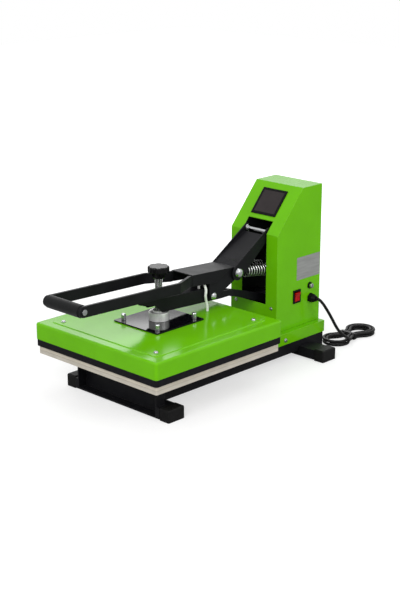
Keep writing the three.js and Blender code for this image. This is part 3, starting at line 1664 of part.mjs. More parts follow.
add("cord_run", tubeThrough(runPoints, cordRadius, cordSides, runSteps), "rubber");
add("cord_hank", woundTube(hank, cordRadius, hankSides), "rubber");
add("cord_tail", tubeThrough(tailPoints, cordRadius, cordSides, tailSteps), "rubber");

// A moulded plug with two round pins, lying on the rim of its face
function mainsPlug() {
  const neck = plugNeckLength;
  const grip = neck + plugGripLength;
  const face = grip + plugFaceLength;
  const profile = [
    [0, 0],
    [plugNeckRadius, 0],
    [plugNeckRadius + plugEdge, neck],
    [plugGripRadius, neck + plugEdge],
    [plugGripRadius, grip],
    [plugFaceRadius, grip + plugEdge],
    [plugFaceRadius, face],
    [0, face],
  ];
  const body = turned(profile, 24);
  const pins = [-1, 1].map((side) => {
    const place = { x: 0, y: (side * plugPinSpacing) / 2 };
    return uprightPin(place, plugPinRadius, face - plugEdge, face + plugPinLength, 12);
  });
  const plug = join(body, ...pins);
  return plug.rotateY(-Math.PI / 2).translate(plugAxis.fromX, plugAxis.y, plugFaceRadius);
}
add("mains_plug", mainsPlug(), "rubber");

export default press;
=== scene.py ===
"""Looks, cord, springs and small fittings for a clamshell heat press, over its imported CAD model."""

import math

import bmesh
import bpy
from mathutils import Matrix, Vector


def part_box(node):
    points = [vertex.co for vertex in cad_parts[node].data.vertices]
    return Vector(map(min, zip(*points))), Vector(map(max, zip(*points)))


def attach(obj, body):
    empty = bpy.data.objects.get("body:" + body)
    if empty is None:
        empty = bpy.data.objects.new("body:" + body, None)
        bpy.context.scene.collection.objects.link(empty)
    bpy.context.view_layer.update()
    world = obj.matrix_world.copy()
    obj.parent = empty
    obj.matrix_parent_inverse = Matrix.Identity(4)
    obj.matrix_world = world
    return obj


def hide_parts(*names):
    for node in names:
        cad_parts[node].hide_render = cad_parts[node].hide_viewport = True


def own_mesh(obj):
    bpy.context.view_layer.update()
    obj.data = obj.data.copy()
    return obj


bl_info = {
    "name": "Heat press dressing",
    "version": (1, 0, 0),
    "blender": (4, 5, 0),
    "location": "3D View > Sidebar > Press",
    "description": "Adds the finishes, mains cord, springs, screws and stage of a heat press",
    "category": "Object",
}

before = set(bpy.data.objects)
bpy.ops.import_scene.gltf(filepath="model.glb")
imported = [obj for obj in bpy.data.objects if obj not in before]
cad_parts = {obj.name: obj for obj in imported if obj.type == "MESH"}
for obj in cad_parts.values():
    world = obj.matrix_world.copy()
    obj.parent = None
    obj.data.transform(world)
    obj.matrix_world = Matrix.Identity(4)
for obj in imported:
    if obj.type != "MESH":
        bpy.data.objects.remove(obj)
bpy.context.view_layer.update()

MM = 0.001

# The source counts y from the cover's front edge, and the row frame from the footprint's middle.
MIDDLE_Y = 304.1

# Pins of the linkage, as y and z in the source's millimetres
LINK_PIN = (433, 241)
ROD_GUIDE = (586, 218)
TOP_PIN = (543, 320.5)


def place(x, y, z):
    """A point in the row frame, in metres, from the source's own millimetres."""
    return Vector((x, y - MIDDLE_Y, z)) * MM


def on_face(point, axis, value):
    """The same point with one coordinate taken, in metres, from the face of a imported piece."""
    moved = point.copy()
    moved[axis] = value
    return moved


def linear(hex_colour):
    """An sRGB hex colour as linear red, green and blue."""
    values = [int(hex_colour[i : i + 2], 16) / 255 for i in (0, 2, 4)]
    return tuple(v / 12.92 if v <= 0.04045 else ((v + 0.055) / 1.055) ** 2.4 for v in values)


def rgba(colour):
    return (*colour, 1.0)


class PressColours(bpy.types.PropertyGroup):
    lime: bpy.props.FloatVectorProperty(
        name="Lime",
        description="Powder coat on the sheet metal",
        subtype="COLOR",
        default=linear("69B90A"),
        min=0,
        max=1,
    )
    black: bpy.props.FloatVectorProperty(
        name="Black",
        description="Powder coat on the frame and levers",
        subtype="COLOR",
        default=linear("17171A"),
        min=0,
        max=1,
    )
    pad: bpy.props.FloatVectorProperty(
        name="Pad",
        description="Silicone sponge of the work pad",
        subtype="COLOR",
        default=linear("CAC2B2"),
        min=0,
        max=1,
    )
    red: bpy.props.FloatVectorProperty(
        name="Red",
        description="Rocker of the power switch",
        subtype="COLOR",
        default=linear("C40F0A"),
        min=0,
        max=1,
    )


class PressSizes(bpy.types.PropertyGroup):
    cord_diameter: bpy.props.FloatProperty(
        name="Cord diameter",
        description="Outside of the mains cord",
        unit="LENGTH",
        default=7.5 * MM,
        min=4 * MM,
    )
    spring_wire: bpy.props.FloatProperty(
        name="Spring wire",
        description="Diameter of the springs' wire",
        unit="LENGTH",
        default=2.5 * MM,
        min=1 * MM,
    )
    screw_head: bpy.props.FloatProperty(
        name="Screw head",
        description="Diameter of the cover screws' heads",
        unit="LENGTH",
        default=9 * MM,
        min=2 * MM,
    )
    plate_width: bpy.props.FloatProperty(
        name="Plate width",
        description="Length of the bare plate along the column's side",
        unit="LENGTH",
        default=89 * MM,
        min=10 * MM,
    )
    plate_height: bpy.props.FloatProperty(
        name="Plate height",
        description="Height of the bare plate on the column's side",
        unit="LENGTH",
        default=58 * MM,
        min=10 * MM,
    )


def sizes():
    return bpy.context.scene.press_sizes


def colours():
    return bpy.context.scene.press_colours


# Materials

# Blender's wave texture goes round once in this many of its own units.
WAVE_UNITS = math.tau / 20

BEVEL_SAMPLES = 4
GRAIN_STRENGTH = 0.6

# Where a patchy colour is darkest and where it is clean, on the noise
PATCH_DARK = 0.35
PATCH_CLEAN = 0.62

# How far the softened normal leans from the true one where wear begins and where it is full, as cosines
WEAR_BEGINS = 0.99
WEAR_FULL = 0.8
WEAR_LENGTH = 8


def add(tree, kind, inputs=None, **settings):
    """Adds a node, applies its settings and sets or links its inputs."""
    node = tree.nodes.new(kind)
    for name, value in settings.items():
        setattr(node, name, value)
    for socket, value in (inputs or {}).items():
        if isinstance(value, bpy.types.NodeSocket):
            tree.links.new(value, node.inputs[socket])
        else:
            node.inputs[socket].default_value = value
    return node


def begin(name, uniform=None):
    """A new material with its tree, a shader with its uniform values and the object's own coordinates."""
    material = bpy.data.materials.new(name)
    material.use_nodes = True
    tree = material.node_tree
    tree.nodes.clear()
    shader = add(tree, "ShaderNodeBsdfPrincipled", uniform)
    add(tree, "ShaderNodeOutputMaterial", {"Surface": shader.outputs["BSDF"]})
    coords = add(tree, "ShaderNodeTexCoord").outputs["Object"]
    return material, tree, shader, coords


def per_metre(millimetres):
    """The scale at which a pattern repeats once in so many millimetres."""
    return 1000 / millimetres


def tint(tree, shader, coords, colour, darker, millimetres):
    """Varies the colour a little over patches of a given size."""
    scale = per_metre(millimetres)
    patches = add(tree, "ShaderNodeTexNoise", {"Vector": coords, "Scale": scale, "Detail": 3.0})
    ramp = add(tree, "ShaderNodeValToRGB", {"Fac": patches.outputs["Fac"]})
    dark, full_tone = ramp.color_ramp.elements
    dark.position = PATCH_DARK
    dark.color = rgba([c * darker for c in colour])
    full_tone.position = PATCH_CLEAN
    full_tone.color = rgba(colour)
    tree.links.new(ramp.outputs["Color"], shader.inputs["Base Color"])
    return ramp.outputs["Color"]


def vary_roughness(tree, shader, coords, low, high, millimetres):
    """Lets the roughness drift between two values over patches of a given size."""
    scale = per_metre(millimetres)
    patches = add(tree, "ShaderNodeTexNoise", {"Vector": coords, "Scale": scale, "Detail": 4.0})
    spread = add(tree, "ShaderNodeMapRange", {"Value": patches.outputs["Fac"], "To Min": low, "To Max": high})
    tree.links.new(spread.outputs["Result"], shader.inputs["Roughness"])


def raise_grain(tree, shader, coords, millimetres, height, edge):
    """Bumps the surface with a grain of a given size, over softly rounded edges."""
    soft = add(tree, "ShaderNodeBevel", {"Radius": edge * MM}, samples=BEVEL_SAMPLES).outputs["Normal"]
    scale = per_metre(millimetres)
    grain = add(tree, "ShaderNodeTexNoise", {"Vector": coords, "Scale": scale, "Detail": 2.0})
    bump = add(
        tree,
        "ShaderNodeBump",
        {"Height": grain.outputs["Fac"], "Distance": height * MM, "Strength": GRAIN_STRENGTH, "Normal": soft},
    )
    tree.links.new(bump.outputs["Normal"], shader.inputs["Normal"])
    return soft


def score_lines(tree, shader, coords, millimetres, waver, bump):
    """Cuts level tool lines a given distance apart, with the depth, strength and normal of a bump."""
    lines = add(
        tree,
        "ShaderNodeTexWave",
        {"Vector": coords, "Scale": per_metre(millimetres) * WAVE_UNITS, "Distortion": waver, "Detail": 1.0},
        wave_type="BANDS",
        bands_direction="Z",
    )
    cut = add(tree, "ShaderNodeBump", {"Height": lines.outputs["Fac"], **bump})
    tree.links.new(cut.outputs["Normal"], shader.inputs["Normal"])


def wear_edges(tree, shader, coords, colour, softened, worn, share):
    """Thins the finish in patches where the softened normal leaves the true one, along the edges."""
    true = add(tree, "ShaderNodeNewGeometry").outputs["Normal"]
    lean = add(tree, "ShaderNodeVectorMath", {0: softened, 1: true}, operation="DOT_PRODUCT").outputs["Value"]
    edge = add(tree, "ShaderNodeMapRange", {"Value": lean, "From Min": WEAR_BEGINS, "From Max": WEAR_FULL})
    scale = per_metre(WEAR_LENGTH)
    patches = add(tree, "ShaderNodeTexNoise", {"Vector": coords, "Scale": scale, "Detail": 3.0})
    rubbed = add(
        tree,
        "ShaderNodeMapRange",
        {"Value": patches.outputs["Fac"], "From Min": 0.35, "From Max": 0.65, "To Max": share},
    )
    both = {0: edge.outputs["Result"], 1: rubbed.outputs["Result"]}
    amount = add(tree, "ShaderNodeMath", both, operation="MULTIPLY").outputs[0]
    mix = add(tree, "ShaderNodeMix", {"Factor": amount, "A": colour, "B": rgba(worn)}, data_type="RGBA")
    tree.links.new(mix.outputs["Result"], shader.inputs["Base Color"])


def paint_inner_shade(tree, shader, colour, inner_shade, low, high):
    """Paints shade on what lies inwards: darkens it towards a shade colour by the outward attribute that
    wind() leaves on a wound shape.
    """
    outward = add(tree, "ShaderNodeAttribute", attribute_name="outward").outputs["Fac"]
    full_tone = add(tree, "ShaderNodeMapRange", {"Value": outward, "From Min": low, "From Max": high})
    # Painted shade: the inward faces take the shade colour, the outward faces keep the full colour.
    inputs = {"Factor": full_tone.outputs["Result"], "A": rgba(inner_shade), "B": colour}
    mix = add(tree, "ShaderNodeMix", inputs, data_type="RGBA")
    tree.links.new(mix.outputs["Result"], shader.inputs["Base Color"])


def gloss_lime_powder_coat():
    """Baked polyester powder coat: a wet gloss, with orange peel some 4 mm across and paler edges."""
    material, tree, shader, coords = begin("gloss_lime_powder_coat", {"Specular IOR Level": 0.14})
    colour = tint(tree, shader, coords, colours().lime, 0.93, 90)
    vary_roughness(tree, shader, coords, 0.12, 0.2, 60)
    soft = raise_grain(tree, shader, coords, 4, 0.014, 1.4)
    wear_edges(tree, shader, coords, colour, soft, linear("A4DC5A"), 0.75)
    return material


def satin_black_powder_coat():
    """Powder coat on steel: half gloss, a grain near 1 mm that breaks up highlights, greyer on its edges."""
    material, tree, shader, coords = begin("satin_black_powder_coat", {"Specular IOR Level": 0.1})
    colour = tint(tree, shader, coords, colours().black, 0.7, 45)
    vary_roughness(tree, shader, coords, 0.34, 0.5, 25)
    soft = raise_grain(tree, shader, coords, 1.1, 0.03, 0.9)
    wear_edges(tree, shader, coords, colour, soft, linear("4A4A4A"), 0.6)
    return material


def gloss_black_enamel():
    """Stoved enamel on the hub plate: nearly a mirror, with slight waves 9 mm across."""
    material, tree, shader, coords = begin("gloss_black_enamel", {"Specular IOR Level": 0.22})
    tint(tree, shader, coords, linear("0C0A10"), 0.8, 40)
    vary_roughness(tree, shader, coords, 0.04, 0.1, 20)
    raise_grain(tree, shader, coords, 9, 0.01, 0.5)
    return material


def dark_platen_coat():
    """Dark non-stick coat on the cast platen: matte, with fine specks, rubbed grey along its edges."""
    material, tree, shader, coords = begin("dark_platen_coat", {"Specular IOR Level": 0.08})
    colour = tint(tree, shader, coords, linear("161518"), 0.7, 12)
    vary_roughness(tree, shader, coords, 0.45, 0.6, 8)
    soft = raise_grain(tree, shader, coords, 0.8, 0.02, 0.8)
    wear_edges(tree, shader, coords, colour, soft, linear("3E3C40"), 0.6)
    return material


def zinc_thread_shaded_roots():
    """Bright zinc on a cut thread: bright along the crests, with painted shade darkening the roots."""
    material, tree, shader, coords = begin("zinc_thread_shaded_roots", {"Metallic": 1.0})
    colour = tint(tree, shader, coords, linear("D0D1D2"), 0.8, 5)
    # Painted shade: the thread's roots darkened towards 2A2926.
    paint_inner_shade(tree, shader, colour, linear("2A2926"), -0.6, 0.6)
    vary_roughness(tree, shader, coords, 0.16, 0.3, 4)
    raise_grain(tree, shader, coords, 0.7, 0.02, 0.3)
    return material


def zinc_plated_steel():
    """Bright zinc on turned steel: a shiny grey with a fine grain, and cloudy patches 5 mm across."""
    material, tree, shader, coords = begin("zinc_plated_steel", {"Metallic": 1.0})
    tint(tree, shader, coords, linear("B4B6B8"), 0.75, 5)
    vary_roughness(tree, shader, coords, 0.16, 0.34, 4)
    raise_grain(tree, shader, coords, 0.7, 0.02, 0.6)
    return material


def black_oxide_steel():
    """Oil-blacked steel of the rods and the arm's shaft: dark, faintly blue, with a dull shine."""
    material, tree, shader, coords = begin("black_oxide_steel", {"Metallic": 0.7})
    tint(tree, shader, coords, linear("2A2A2D"), 0.7, 8)
    vary_roughness(tree, shader, coords, 0.32, 0.5, 6)
    raise_grain(tree, shader, coords, 0.9, 0.02, 0.5)
    return material


def bright_chrome():
    """Chrome plate over polished steel: a clean mirror with faint smears."""
    material, tree, shader, coords = begin("bright_chrome", {"Metallic": 1.0})
    tint(tree, shader, coords, linear("C2C4C6"), 0.85, 8)
    vary_roughness(tree, shader, coords, 0.06, 0.16, 6)
    raise_grain(tree, shader, coords, 2, 0.006, 0.6)
    return material


def plated_spring_wire():
    """Drawn and plated spring wire: bright outside, with painted shade darkening the inside of its coils."""
    material, tree, shader, coords = begin("plated_spring_wire", {"Metallic": 1.0})
    colour = tint(tree, shader, coords, linear("E2E3E3"), 0.8, 4)
    # Painted shade: the inside of each coil darkened nearly to black, so the far coils look dark through the
    # gaps.
    paint_inner_shade(tree, shader, colour, linear("0E0E0D"), -0.2, 0.6)
    vary_roughness(tree, shader, coords, 0.14, 0.28, 3)
    raise_grain(tree, shader, coords, 0.6, 0.01, 0.2)
    return material


def machined_aluminium():
    """Turned aluminium: pale, with tool lines 1.2 mm apart round it, drawn coarser than real."""
    material, tree, shader, coords = begin("machined_aluminium", {"Metallic": 0.5})
    tint(tree, shader, coords, linear("E8E9E7"), 0.84, 12)
    vary_roughness(tree, shader, coords, 0.26, 0.42, 10)
    soft = add(tree, "ShaderNodeBevel", {"Radius": 0.8 * MM}, samples=BEVEL_SAMPLES).outputs["Normal"]
    score_lines(tree, shader, coords, 1.2, 0.4, {"Distance": 0.05 * MM, "Strength": 0.5, "Normal": soft})
    return material


def milled_platen_aluminium():
    """Milled edge of the lower platen: a warm dull grey, with cutter marks 2 mm apart up its height."""
    material, tree, shader, coords = begin("milled_platen_aluminium", {"Metallic": 0.35})
    tint(tree, shader, coords, linear("D0C9BC"), 0.9, 40)
    vary_roughness(tree, shader, coords, 0.38, 0.55, 14)
    score_lines(tree, shader, coords, 2, 0.8, {"Distance": 0.06 * MM, "Strength": 0.6})
    return material


def silicone_sponge():
    """Expanded silicone rubber: dull, with open pores near 1 mm and edges that look soft."""
    material, tree, shader, coords = begin("silicone_sponge", {"Specular IOR Level": 0.3})
    tint(tree, shader, coords, colours().pad, 0.9, 30)
    vary_roughness(tree, shader, coords, 0.4, 0.6, 6)
    raise_grain(tree, shader, coords, 1.0, 0.08, 2.0)
    return material


def moulded_pvc():
    """Moulded soft PVC of the end caps and the plug: dull black, grained, rubbed grey on its edges."""
    material, tree, shader, coords = begin("moulded_pvc", {"Specular IOR Level": 0.1})
    colour = tint(tree, shader, coords, linear("161616"), 0.75, 18)
    vary_roughness(tree, shader, coords, 0.42, 0.6, 8)
    soft = raise_grain(tree, shader, coords, 0.8, 0.05, 1.5)
    wear_edges(tree, shader, coords, colour, soft, linear("40403F"), 0.5)
    return material


def cord_jacket():
    """Extruded PVC jacket: smooth, slightly waxy black."""
    material, tree, shader, coords = begin("cord_jacket", {"Specular IOR Level": 0.15})
    tint(tree, shader, coords, linear("121213"), 0.8, 20)
    vary_roughness(tree, shader, coords, 0.3, 0.45, 10)
    raise_grain(tree, shader, coords, 2.5, 0.02, 0.3)
    return material


def grip_foam():
    """Dense EVA foam sleeve: matte black, with fine pores and a faint soft sheen."""
    material, tree, shader, coords = begin("grip_foam", {"Specular IOR Level": 0.08, "Sheen Weight": 0.1})
    tint(tree, shader, coords, linear("141516"), 0.7, 7)
    vary_roughness(tree, shader, coords, 0.45, 0.62, 5)
    raise_grain(tree, shader, coords, 0.9, 0.12, 0.8)
    return material


def moulded_phenolic():
    """Phenolic of the knob, moulded glossy, a little dulled on the rims of its lobes."""
    material, tree, shader, coords = begin("moulded_phenolic", {"Specular IOR Level": 0.11})
    colour = tint(tree, shader, coords, linear("101011"), 0.8, 10)
    vary_roughness(tree, shader, coords, 0.1, 0.2, 8)
    soft = raise_grain(tree, shader, coords, 2, 0.02, 1.4)
    wear_edges(tree, shader, coords, colour, soft, linear("343434"), 0.5)
    return material


def textured_abs():
    """ABS of the bezel, switch, fuse holder and gland: dull, with a spark-eroded texture near 0.6 mm."""
    material, tree, shader, coords = begin("textured_abs", {"Specular IOR Level": 0.07})
    tint(tree, shader, coords, linear("101011"), 0.8, 12)
    vary_roughness(tree, shader, coords, 0.34, 0.5, 8)
    raise_grain(tree, shader, coords, 0.6, 0.03, 0.6)
    return material


def red_polycarbonate():
    """Red polycarbonate of the rocker: deep and glossy, clouded like a lens over an unlit lamp."""
    material, tree, shader, coords = begin("red_polycarbonate", {"Specular IOR Level": 0.15})
    tint(tree, shader, coords, colours().red, 0.55, 9)
    vary_roughness(tree, shader, coords, 0.12, 0.24, 5)
    raise_grain(tree, shader, coords, 3, 0.01, 0.8)
    return material


def smoked_acrylic():
    """Smoked acrylic window over an unlit display: brownish grey and glossy."""
    material, tree, shader, coords = begin("smoked_acrylic", {"Specular IOR Level": 0.2})
    tint(tree, shader, coords, linear("2C2627"), 0.8, 30)
    vary_roughness(tree, shader, coords, 0.08, 0.18, 20)
    raise_grain(tree, shader, coords, 12, 0.01, 0.4)
    return material


def solder_mask_board():
    """Glass-epoxy board under green solder mask: half glossy, with a weave near 1.5 mm just showing."""
    material, tree, shader, coords = begin("solder_mask_board")
    tint(tree, shader, coords, linear("1E5A36"), 0.7, 4)
    vary_roughness(tree, shader, coords, 0.25, 0.5, 3)
    raise_grain(tree, shader, coords, 1.5, 0.1, 0.2)
    return material


def mineral_felt():
    """Needled mineral fibre: matte and uneven."""
    material, tree, shader, coords = begin("mineral_felt")
    tint(tree, shader, coords, linear("C9BFA6"), 0.75, 5)
    vary_roughness(tree, shader, coords, 0.85, 1.0, 5)
    raise_grain(tree, shader, coords, 0.8, 0.3, 0.5)
    return material


def glass_fibre_sleeve():
    """Braided, silicone-dipped glass fibre: off-white, with strands about 1 mm wide."""
    material, tree, shader, coords = begin("glass_fibre_sleeve")
    tint(tree, shader, coords, linear("EEEEEB"), 0.88, 3)
    vary_roughness(tree, shader, coords, 0.45, 0.65, 3)
    raise_grain(tree, shader, coords, 1.0, 0.15, 0.3)
    return material


def bare_plate_foil():
    """Silvery foil, left bare: fine brushed lines along the plate and dull smudges 12 mm across."""
    material, tree, shader, coords = begin("bare_plate_foil", {"Metallic": 0.5})
    stretched = add(tree, "ShaderNodeMapping", {"Vector": coords, "Scale": (1.0, 0.05, 1.0)})
    tint(tree, shader, stretched.outputs["Vector"], linear("9FA19F"), 0.8, 3)
    vary_roughness(tree, shader, coords, 0.32, 0.6, 12)
    return material


FINISHES = {
    gloss_lime_powder_coat: ["top_cover", "column_shell", "column_back_panel", "column_skirt"],
    satin_black_powder_coat: [
        "front_cross_channel",
        "rear_cross_tube",
        "base_rail_left",
        "base_rail_right",
        "platen_support",
        "frame_floor_plate",
        "pressure_arm",
        "lever_bracket",
        "lever_cheek_left",
        "lever_cheek_right",
        "handle_bar_left",
        "handle_bar_right",
        "toggle_link",
        "side_plate_left",
        "side_plate_right",
        "spring_anchor_bar",
    ],
    gloss_black_enamel: ["hub_plate"],
    dark_platen_coat: ["heating_platen"],
    zinc_plated_steel: [
        "spacer_bolt_1",
        "spacer_bolt_2",
        "spacer_bolt_3",
        "spacer_bolt_4",
        "grip_bolt",
        "fuse_cap",
    ],
    black_oxide_steel: ["spring_rod_left", "spring_rod_right", "arm_pivot_shaft"],
    bright_chrome: ["lever_pivot_bolt", "top_pivot_pin", "link_bolt_left", "link_bolt_right"],
    machined_aluminium: ["platen_hub"],
    milled_platen_aluminium: ["lower_platen"],
    silicone_sponge: ["silicone_pad"],
    moulded_pvc: [
        "foot_cap_front_left",
        "foot_cap_front_right",
        "foot_cap_rear_left",
        "foot_cap_rear_right",
        "mains_plug",
    ],
    grip_foam: ["handle_grip"],
    moulded_phenolic: ["pressure_knob"],
    textured_abs: ["screen_bezel", "rocker_housing", "fuse_holder", "cable_gland"],
    red_polycarbonate: ["rocker_paddle"],
    smoked_acrylic: ["screen_glass"],
    solder_mask_board: ["controller_board"],
    mineral_felt: ["insulation_blanket"],
    glass_fibre_sleeve: ["heater_cable"],
}

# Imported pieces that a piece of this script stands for, so they need no finish of their own
REPLACED = {"cord_run", "cord_hank", "cord_tail", "spring_left", "spring_right", "pressure_screw"}


# Shapes

SMOOTH_ANGLE = math.radians(35)


def finish_piece(name, data, material, body):
    """Makes an object of a mesh or a curve in the row frame, and hands it to its body."""
    piece = bpy.data.objects.new(name, data)
    bpy.context.scene.collection.objects.link(piece)
    data.materials.append(material)
    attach(piece, body)
    return piece


def mesh_from(bm, name, matrix=None):
    """Turns the shape to its place, sets its faces outwards and smooths its round sides."""
    if matrix is not None:
        bmesh.ops.transform(bm, matrix=matrix, verts=bm.verts)
    bmesh.ops.recalc_face_normals(bm, faces=bm.faces)
    mesh = bpy.data.meshes.new(name)
    bm.to_mesh(mesh)
    bm.free()
    mesh.shade_smooth()
    mesh.set_sharp_from_angle(angle=SMOOTH_ANGLE)
    return mesh


def frame_along(direction, origin):
    """A matrix that stands local +Z along a direction at a place."""
    return Matrix.Translation(origin) @ Vector(direction).to_track_quat("Z", "Y").to_matrix().to_4x4()


def stand_disc(bm, bottom, depth, foot, top, sides):
    """Stands a closed cylinder or cone on a height, from the radii of its foot and top."""
    made = bmesh.ops.create_cone(bm, cap_ends=True, segments=sides, radius1=foot, radius2=top, depth=depth)
    bmesh.ops.translate(bm, verts=made["verts"], vec=(0, 0, bottom + depth / 2))


def round_edges(bm, edges, offset, segments):
    bmesh.ops.bevel(
        bm,
        geom=edges,
        offset=offset,
        offset_type="OFFSET",
        affect="EDGES",
        segments=segments,
        profile=0.5,
        material=-1,
    )


def wind(bm, section, turns, rise, steps):
    """Winds a flat section, given as [outwards, upwards] in metres, round local +Z into a closed solid."""
    layer = bm.verts.layers.float.new("outward")
    inner, outer = min(out for out, _ in section), max(out for out, _ in section)
    corners = [bm.verts.new((out, 0, up)) for out, up in section]
    for corner, (out, _) in zip(corners, section):
        corner[layer] = (2 * out - inner - outer) / (outer - inner)
    face = bm.faces.new(corners)
    bmesh.ops.spin(
        bm,
        geom=[*corners, *face.edges, face],
        cent=(0, 0, 0),
        axis=(0, 0, 1),
        dvec=(0, 0, rise / (turns * steps)),
        angle=turns * math.tau,
        steps=turns * steps,
        use_merge=False,
    )


# Camera, at the place that was solved from the cover, the column and the feet in the photograph

CAMERA_SPOT = (2050.99, -1782.03, 1107.56)
CAMERA_DIP = 17.354
CAMERA_TURN = 44.03
CAMERA_LENS = 78.08
CAMERA_SENSOR = 36
CAMERA_REACH = 50


class PRESS_OT_camera(bpy.types.Operator):
    """Stand the camera where the photograph was taken from"""

    bl_idname = "press.camera"
    bl_label = "Camera"

    def execute(self, context):
        data = bpy.data.cameras.new("camera")
        data.lens = CAMERA_LENS
        data.sensor_width = CAMERA_SENSOR
        data.clip_end = CAMERA_REACH
        camera = bpy.data.objects.new("camera", data)
        context.scene.collection.objects.link(camera)
        camera.location = place(*CAMERA_SPOT)
        camera.rotation_euler = (math.radians(90 - CAMERA_DIP), 0, math.radians(CAMERA_TURN))
        context.scene.camera = camera
        return {"FINISHED"}


# Mains cord, on the same route as in the source, in its millimetres

CORD_RADIUS = 3.75
CORD_BEVEL = 3
CORD_SMOOTHING = 4
HANK_CENTRE = (95, 797)
HANK_START = -0.1
HANK_END = 3.6
HANK_STEPS = 30
HANK_FOLD = 22.5
HANK_WAIST = 61
HANK_WAIST_ANGLE = math.radians(37.5)
HANK_WAIST_SHARE = 0.22
HANK_CLIMB_SHARE = 0.32
HANK_PITCH = 8.7
PLUG_X = -4
PLUG_Y = 735
PLUG_Z = 18.5

RUN = [
    (96.25, 660, 137),
    (104, 660.5, 136.8),
    (111, 665.5, 128.5),
    (117, 675, 112),
    (121, 684, 96),
    (125, 692, 80),
    (129, 699, 65),
    (132, 709, 50),
    (135, 724, 35),
    (135.5, 742, 24),
    (132.5, 757, 16),
]
TAIL = [
    (50, 749, CORD_RADIUS),
    (40, 741, 6),
    (26, 736.5, 12),
    (15, PLUG_Y, 16.5),
    (PLUG_X + 7.5, PLUG_Y, PLUG_Z),
    (PLUG_X + 0.3, PLUG_Y, PLUG_Z),
]

TIE_SIZE = (50.4, 8, 17)
TIE_HEIGHT = 8.6
TIE_WALL = 0.7
TIE_FOLD = 4.4
TIE_FOLD_STEPS = 6


def hank_point(turn):
    """A place on the tied hank: loops drawn in at the waist, in two layers."""
    middle = (HANK_START + HANK_END) / 2
    outward = HANK_PITCH * abs(turn - middle)
    waist_half = (HANK_FOLD + HANK_WAIST) * math.cos(HANK_WAIST_ANGLE) - HANK_WAIST
    fold_centre = (HANK_FOLD + HANK_WAIST) * math.sin(HANK_WAIST_ANGLE)
    waist = HANK_WAIST - outward
    fold = HANK_FOLD + outward
    half = (2 * (turn % 1)) % 1
    if half < HANK_WAIST_SHARE or half > 1 - HANK_WAIST_SHARE:
        leaving = half < HANK_WAIST_SHARE
        angle = HANK_WAIST_ANGLE * (half if leaving else 1 - half) / HANK_WAIST_SHARE
        along = waist * math.sin(angle)
        across = (waist_half + HANK_WAIST - waist * math.cos(angle)) * (-1 if leaving else 1)
    else:
        sweep = 2 * (half - HANK_WAIST_SHARE) / (1 - 2 * HANK_WAIST_SHARE) - 1
        angle = sweep * (math.pi / 2 + HANK_WAIST_ANGLE)
        along = fold_centre + fold * math.cos(angle)
        across = fold * math.sin(angle)
    mirror = -1 if turn % 1 >= 0.5 else 1
    climb = min(max(0.5 - (turn - middle) / HANK_CLIMB_SHARE, 0), 1)
    return (
        HANK_CENTRE[0] - mirror * across,
        HANK_CENTRE[1] + mirror * along,
        CORD_RADIUS + HANK_PITCH * climb,
    )


def cord_points():
    """The whole cord's centreline, from the gland to the plug."""
    steps = round((HANK_END - HANK_START) * HANK_STEPS)
    turns = [HANK_START + (HANK_END - HANK_START) * i / steps for i in range(steps + 1)]
    hank = [Vector(hank_point(turn)) for turn in turns]
    lead_in = hank[0] + (hank[0] - hank[1]).normalized() * 2 * CORD_RADIUS
    lead_out = hank[-1] + (hank[-1] - hank[-2]).normalized() * 2 * CORD_RADIUS
    return [place(*point) for point in (*RUN, lead_in, *hank, lead_out, *TAIL)]


def cord_curve(name, points, diameter):
    """A smooth round tube along points, as one open curve."""
    curve = bpy.data.curves.new(name, "CURVE")
    curve.dimensions = "3D"
    curve.bevel_depth = diameter / 2
    curve.bevel_resolution = CORD_BEVEL
    curve.use_fill_caps = True
    curve.resolution_u = CORD_SMOOTHING
    curve.render_resolution_u = CORD_SMOOTHING
    spline = curve.splines.new("BEZIER")
    spline.bezier_points.add(len(points) - 1)
    for knot, point in zip(spline.bezier_points, points):
        knot.co = point
        knot.handle_left_type = knot.handle_right_type = "AUTO"
    return curve


def hank_tie(material):
    """A flat strap round the waist of the hank."""
    bm = bmesh.new()
    bmesh.ops.create_cube(bm, size=1.0)
    bmesh.ops.scale(bm, verts=bm.verts, vec=Vector(TIE_SIZE) * MM)
    open_ends = [f for f in bm.faces if abs(f.normal.y) > 0.5]
    bmesh.ops.delete(bm, geom=open_ends, context="FACES_ONLY")
    folds = [e for e in bm.edges if len(e.link_faces) == 2]
    round_edges(bm, folds, TIE_FOLD * MM, TIE_FOLD_STEPS)
    bmesh.ops.recalc_face_normals(bm, faces=bm.faces)
    bmesh.ops.solidify(bm, geom=list(bm.faces), thickness=TIE_WALL * MM)
    mesh = mesh_from(bm, "hank_tie", Matrix.Translation(place(*HANK_CENTRE, TIE_HEIGHT)))
    return finish_piece("hank_tie", mesh, material, "base")


class PRESS_OT_cord(bpy.types.Operator):
    """Lay the mains cord from its gland, through the tied hank, to the plug"""

    bl_idname = "press.cord"
    bl_label = "Mains cord"

    def execute(self, context):
        points = cord_points()
        jacket = cord_jacket()
        diameter = sizes().cord_diameter
        curve = cord_curve("mains_cord", points, diameter)
        cord = finish_piece("mains_cord", curve, jacket, "base")
        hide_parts("cord_run", "cord_hank", "cord_tail")
        tie = hank_tie(jacket)
        return {"FINISHED"}


# Coil springs, in millimetres. They keep a share of their length when the arm is open.

SPRING_CENTRE = 22.3
SPRING_RADIUS = 14.4
SPRING_START = 37
SPRING_LENGTH = 110.9
SPRING_CURLS = 12
SPRING_STEPS = 24
SPRING_WIRE_SIDES = 12


